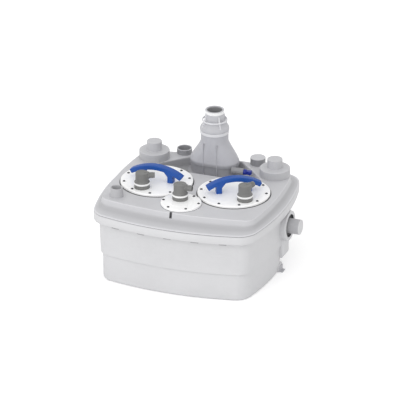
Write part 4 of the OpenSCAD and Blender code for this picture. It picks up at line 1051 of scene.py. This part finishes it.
# %% Lathe the level heads
nozzle_turns = {"left": 22, "right": 70, "middle": 0}
nozzle_rise = Vector((0, 0, 43 * MM))
head_line = [
    (0, 0), (25.5, 0), (25.5, 13.5), (24.5, 13.5), (24.5, 20), (25.5, 20), (25.5, 21), (21.5, 26),
    (21.5, 54), (17, 54), (16.4, 53.4), (0, 53.4)]
head_soft = [0, 0.8, 0.5, 0.2, 0.2, 0.4, 1, 2.5, 4.5, 0.3, 0.3, 0]
nozzle_line = [
    (0, 8), (12, 8), (12, 23), (9.5, 24.5), (9.5, 29), (10.3, 29), (9.4, 34), (10.2, 34), (9.2, 39),
    (9.2, 42), (7, 42), (7, 26), (0, 26)]
nozzle_soft = [0, 0.5, 0.8, 0.6, 0.2, 0.2, 0.2, 0.2, 0.2, 0.7, 0.5, 0.5, 0]
for name, turn in nozzle_turns.items():
    base = middle("level_tube_" + name)
    base.z = cover_top
    way = (cos(radians(turn)), sin(radians(turn)), 0)
    tip = turned(nozzle_line, nozzle_soft, base + nozzle_rise, way, 48, 3)
    head = gather(turned(head_line, head_soft, base), tip)
    piece("level_head_body_" + name, head, head_finish, "level_head_" + name)
    band = round_band(24.6, 26.1, 13.6, 19.9, base)
    piece("level_band_" + name, band, band_finish, "head_clamp_" + name)
print("level heads:", len(nozzle_turns))

# %% [markdown]
# ## The collector
# The collector joins both risers to one outlet, so its foot is long and its neck is round. A loft
# from a stadium to a circle makes that change without a seam. Thin ribs run up its front and back
# where the halves of the mould are stiffened, and a soft sleeve leads to the mouth. Four fins on the
# sleeve carry a hoop.

# %% Rings and ribs of the collector
collector_low = bottom("collector_body")
lip_z = cover_top + 5 * MM
cone_z = lip_z + 15 * MM
neck_z = cone_z + 66 * MM
sleeve_z = bottom("outlet_sleeve")
mouth_z = top("outlet_sleeve")
end_half, neck_r = 37, 45.5
rib_x, rib_half, rib_out, rib_in = 23.3 * MM, 0.9 * MM, 47 * MM, 36 * MM


def stadium(z, r, half):
    """Ring about the collector's axis with round ends along X; half = 0 makes it a circle."""
    points = []
    for side in (1, -1):
        for a in np.linspace(0, pi, 33) - side * pi / 2:
            points.append((collector.x + side * half + r * cos(a), collector.y + r * sin(a), z))
    return points


def collector_rings():
    """Foot flange, waist, lip, cone and neck; radii and half lengths are in millimetres."""
    foot = [(0, 54), (5, 54), (5.7, 53.7), (6, 53), (6, 45), (6.6, 43.6), (8, 43)]
    lip = [(-2, 43), (-0.6, 43.5), (0, 45), (0.5, 45.7), (1.5, 46), (13.5, 46), (14.6, 45.8)]
    steps = [(collector_low + h * MM, r, end_half) for h, r in foot]
    steps += [(lip_z + h * MM, r, end_half) for h, r in lip]
    steps.append((cone_z + 1 * MM, neck_r, end_half - 0.4))
    for k in range(1, 12):
        t = k / 12
        ease = t * t * (3 - 2 * t) * 0.35 + t * 0.65
        steps.append((cone_z + (neck_z - cone_z) * t, neck_r, end_half * (1 - ease)))
    steps += [(neck_z, neck_r, 0), (sleeve_z - 0.8 * MM, neck_r, 0)]
    steps += [(sleeve_z, 44.8, 0), (sleeve_z + 4 * MM, 43, 0)]
    return [stadium(z, r * MM, half * MM) for z, r, half in steps]


def collector_ribs():
    """Two thin ribs up the front and two up the back."""
    parts = []
    for side in (-1, 1):
        near, far = sorted((collector.y + side * rib_out, collector.y + side * rib_in))
        for x in (-rib_x, rib_x):
            low = (x - rib_half, near, collector_low + 1 * MM)
            parts.append(bevelled_box(low, (x + rib_half, far, neck_z - 0.5 * MM), 0.6 * MM))
    return parts


# %% Loft the collector and lathe the boss of its cock
cock = middle("drain_knob")
boss_end, boss_len, boss_floor = 111 * MM, 40, 36
boss_line = [
    (0, 0), (14, 0), (11, 8), (11, boss_len), (6.4, boss_len), (6.4, boss_floor), (0, boss_floor)]
boss_place = (boss_end - boss_len * MM, cock.y, cock.z)
boss = turned(boss_line, [0, 0, 4, 1.2, 0.4, 0, 0], boss_place, (1, 0, 0), 64)
# The boss is painted darker grey as shade.
piece("drain_boss", boss, vent_and_boss_painted_shade_finish)
# The collector's foot carries painted shade.
piece("collector_shell", loft(collector_rings()), collector_finish, "collector_body")
# The ribs' feet carry a painted highlight.
piece("collector_rib_set", gather(*collector_ribs()), rib_finish)
print("collector from", round(collector_low, 3), "to", round(sleeve_z, 3))

# %% Sleeve, fins and clamps
FINE = 128
mouth = (collector.x, collector.y, mouth_z)
bore_r, bore_low = 25.5, -3.5
sleeve = [
    (43.2, -80.5), (46, -80.5), (46, -70), (48, -69), (48.2, -64.5), (46.6, -58.5), (34, -43.5), (31, -38.5),
    (31, -11), (30, -11), (30, -1), (31, -1), (31, 0), (bore_r, 0), (bore_r, bore_low)]
soft = [0, 0.5, 0.5, 0.8, 4, 5, 2, 3, 0.2, 0.2, 0.2, 0.2, 0.4, 0.6, 0]
shape = turned(sleeve, soft, mouth, segments=FINE)
piece("outlet_sleeve_shell", shape, sleeve_finish, "outlet_sleeve")
hoop = round_band(38.4, 42, -38.1, -33.1, mouth, (0, 1.2, 1.2, 0.6, 0), FINE)
fin_line = [
    (-4, -60.5), (12, -60.5), (12, -52.5), (8, -37.5), (5, -30.5), (1.2, -17.5), (-2, -16.5), (-4, -16.5)]
fin_points = [(x * MM, z * MM) for x, z in fin_line]
fin = mesh_object("fin", plate(fin_points, 3.2 * MM, 0.7 * MM, Matrix.Rotation(pi / 2, 4, "X")))
fins = round_a_circle.run(
    Piece=fin, Count=4, Radius=33 * MM, Start=radians(45), Centre=mouth, Finish=hoop_finish)
bpy.data.objects.remove(fin)
piece("outlet_sleeve_hoop", gather(hoop, fins), hoop_finish)
clamps = (("lower_clamp", 46.05, 47.6, hoop_finish), ("upper_clamp", 30.05, 31.6, band_finish))
for node, inner, outer, finish in clamps:
    place = (collector.x, collector.y, bottom(node))
    shape = round_band(inner, outer, 0, (top(node) - bottom(node)) / MM, place, segments=FINE)
    piece(node + "_band", shape, finish, node)
# The bore is painted darker than the sleeve as the shade inside the mouth.
bore = turned([(bore_r, bore_low), (bore_r, -60), (0, -60)], 0, mouth, segments=FINE)
piece("outlet_bore", bore, bore_painted_shade_finish)
print("mouth at", round(mouth_z, 4))

# %% [markdown]
# ## The drain cock
# A quarter turn of this knob lets the pressure pipe run empty. It turns, so it rides on its own body.
# The grip is a bow-shaped plate on a round collar.

# %% Shape the knob
knob = Vector((boss_end + 0.4 * MM, cock.y, cock.z))
collar_line = [(0, 0), (9.5, 0), (9.5, 8), (6.5, 10), (0, 10)]
collar = turned(collar_line, [0, 0.8, 1.2, 0.8, 0], knob, (1, 0, 0), 64)
stem = turned([(0, -30), (5.9, -30), (5.9, 1), (0, 1)], 0, knob, (1, 0, 0), 48)
grip_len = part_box("drain_knob")[1].x - knob.x
grip_half = [(4 * MM, 6 * MM), (grip_len / 2, 7 * MM), (grip_len, 9.4 * MM)]
grip_line = [(x, -y) for x, y in grip_half] + grip_half[::-1]
grip = fillet(grip_line, [r * MM for r in (1, 6, 4, 4, 6, 1)], closed=True)
wing = plate(grip, 12 * MM, 2 * MM, Matrix.Translation(knob))
piece("drain_knob_grip", gather(collar, stem, wing), knob_finish, "drain_knob", "drain_cock")
print("knob length", round(grip_len, 4))

# %% [markdown]
# ## Side inlets and clips
# A side inlet is a round flange on the wall with a well in it, painted dark as shade, and a grey
# stub, closed until it is used. The clips are small dark dashes that hold the skirt. They follow the
# rim's bow, so they are set at even steps along a line on that bow.

# %% Lathe the side inlets
stub_r = 25
stub_len = (inlet_high.x - seat_x) / MM
cap_z, dish_z = stub_len - 1.5, stub_len - 0.8
flange_line = [(36, -5), (39, -5), (39, 0), (50, 0), (50, 18), (38, 18), (38, 17)]
well_line = [(38.2, 17.6), (38, 17), (37.4, 10), (26, 10), (24.8, 12)]
stub_line = [(stub_r, 8), (stub_r, cap_z)]
cap_line = [(stub_r, cap_z), (stub_r, stub_len), (20.5, stub_len), (20, dish_z), (0, dish_z)]
for name, sign in (("left", -1), ("right", 1)):
    inlet = middle("side_inlet_" + name)
    where = (sign * seat_x, inlet.y, inlet.z), (sign, 0, 0)
    flange = turned(flange_line, [0, 0, 0, 0.4, 1.5, 0.6, 0], *where)
    piece("side_flange_" + name, flange, tub_finish, "side_inlet_" + name)
    well = turned(well_line, [0, 0.4, 0.8, 0.8, 0], *where)
    # The well is painted dark as shade.
    piece("side_well_" + name, well, well_painted_shade_finish)
    piece("side_stub_" + name, turned(stub_line, 0, *where), vent_finish)
    cap = turned(cap_line, [0, 1.5, 0.4, 0.4, 0], *where)
    piece("side_cap_" + name, cap, tub_finish)
print("side inlets reach", round(stub_len, 1), "mm out")

# %% Clips and gasket of the rim
clip_inset, clip_reach, clip_count = 8.8 * MM, 184 * MM, 5
clip_half = Vector((13 * MM, 7.4 * MM, 0))
clip = mesh_object("clip", bevelled_box(-clip_half - Vector((0, 0, 2.6 * MM)), clip_half, 1.2 * MM))
across = np.linspace(-clip_reach, clip_reach, 33)
clip_lines = [
    [(x, rim_front + bow(x, bow_r) + clip_inset, skirt_z) for x in across],
    [(x, rim_back - bow(x, back_bow_r) - clip_inset, skirt_z) for x in across[::-1]]]
clip_rows = []
for points in clip_lines:
    line = bpy.data.meshes.new("line")
    line.from_pydata(points, [(k, k + 1) for k in range(len(points) - 1)], [])
    clip_rows.append(along_a_line.run(line, Piece=clip, Count=clip_count, Finish=clip_finish))
bpy.data.objects.remove(clip)
piece("rim_clip_set", gather(*clip_rows), clip_finish, "rim_clips")
gasket = rim_rings([
    (tub_top, 12), (tub_top, 1.6), (tub_top + 0.5 * MM, 1), (flange_z - 0.5 * MM, 1), (flange_z, 1.6),
    (flange_z, 12)])
piece("rim_gasket_line", loft(gasket), clip_finish, "rim_gasket")
print("clip rows:", len(clip_rows))

# %% [markdown]
# ## Finishes for the remaining solids
# The pieces inside the tank, and the small brackets at its foot, already have the right shape. They
# keep their CAD mesh and only get a finish: the brackets a grey steel, the others one chosen by the
# slot that the record gives them.

# %% Paint the CAD nodes
by_slot = {
    "tub_plastic": tub_finish, "lid_plastic": vent_finish, "sleeve_rubber": sleeve_finish,
    "cover_plastic": band_finish, "seal_rubber": seal_finish, "clip_plastic": clip_finish,
    "handle_plastic": handle_finish, "knob_plastic": knob_finish, "head_plastic": head_finish,
    "dark_steel": screw_finish, "steel": steel_finish, "cast_iron": iron_finish, "winding": winding_finish,
}
slots = {part["node"]: part["material_slot"] for part in frame["record"]["subparts"]}
for name, obj in frame["nodes"].items():
    obj.data.materials.clear()
    obj.data.materials.append(bracket_finish if name.startswith("floor_bracket") else by_slot[slots[name]])
print("painted", len(frame["nodes"]), "nodes")

# %% [markdown]
# ## Floor, light and camera
# The photograph is a product cut-out: white all round, with soft light and a very long lens. An even
# white sky gives most of the light, and one wide lamp in front of the object adds to it. The floor is
# pale and catches a soft shadow. For the camera and in reflections it also glows a little, so that it
# reads as white without adding light to matt surfaces.

# %% Floor and world
floor_tone, floor_glow, floor_reach = 0.86, 0.3, 30
sky_strength = 0.93
WHITE = (1, 1, 1, 1)


def floor_finish():
    f = Finish("floor_pale")
    seen = (f.ray("Camera") + f.ray("Glossy") + f.ray("Transmission")).clamped()
    f.set(Base_Color=(floor_tone, floor_tone, floor_tone, 1), Roughness=0.9, Specular_IOR_Level=0.1)
    glow = f.node("ShaderNodeEmission", {"Color": WHITE, "Strength": seen * floor_glow})
    both = f.node("ShaderNodeAddShader", {0: Value(f, f.shader.outputs[0]), 1: glow})
    f.put(f.tree.nodes["Material Output"].inputs["Surface"], both)
    return f.material


corners = [(x * floor_reach, y * floor_reach, 0) for x, y in ((-1, -1), (1, -1), (1, 1), (-1, 1))]
floor_mesh = bpy.data.meshes.new("floor")
floor_mesh.from_pydata(corners, [], [(0, 1, 2, 3)])
floor_mesh.materials.append(floor_finish())
floor = add_object("floor", floor_mesh)

world = bpy.data.worlds.new("studio")
bpy.context.scene.world = world
world.use_nodes = True
sky = Tree(world.node_tree)
direct = (sky.ray("Camera") + sky.ray("Transmission")).clamped()
strength = sky.node("ShaderNodeMapRange", {"Value": direct, "To Min": sky_strength, "To Max": 1.0})
background = world.node_tree.nodes["Background"]
sky.put(background.inputs["Color"], WHITE)
sky.put(background.inputs["Strength"], strength)
print("floor and world set")

# %% Lamp
lamp_place, lamp_aim = Vector((-0.3, -3.0, 1.95)), Vector((0, 0, 0.2))
lamp_data = bpy.data.lights.new("key_front", "AREA")
lamp_data.shape = "SQUARE"
lamp_data.size = 3.0
lamp_data.energy = 35
lamp = add_object("key_front", lamp_data)
lamp.location = lamp_place
lamp.rotation_euler = (lamp_aim - lamp_place).to_track_quat("-Z", "Y").to_euler()
print("lamp set")

# %% Camera
azimuth, elevation = radians(20.1), radians(24.6)
away = Vector((sin(azimuth) * cos(elevation), -cos(azimuth) * cos(elevation), sin(elevation)))
right = Vector((cos(azimuth), sin(azimuth), 0))
up = away.cross(right)
pixels_per_metre = 306.9
focal_pixels, picture_pixels = 8000, 400
shift_right, shift_down = 15.4 * MM, 47.2 * MM
distance = focal_pixels / pixels_per_metre
camera_data = bpy.data.cameras.new("camera")
camera_data.sensor_width = 36
camera_data.lens = focal_pixels / picture_pixels * camera_data.sensor_width
camera_data.clip_end = 200
camera = add_object("camera", camera_data)
aim = Vector((0, covers["left"].y, cover_top)) + right * shift_right - up * shift_down
turn = Matrix((right, up, away)).transposed().to_4x4()
camera.matrix_world = Matrix.Translation(aim + away * distance) @ turn
bpy.context.scene.camera = camera
bpy.context.scene.view_settings.view_transform = "Standard"
print("camera", round(distance, 2), "m away")

# %% [markdown]
# ## Pieces made
# The dressed model has to stay inside the CAD model's box.

# %% Finish
print("pieces:", len(made))
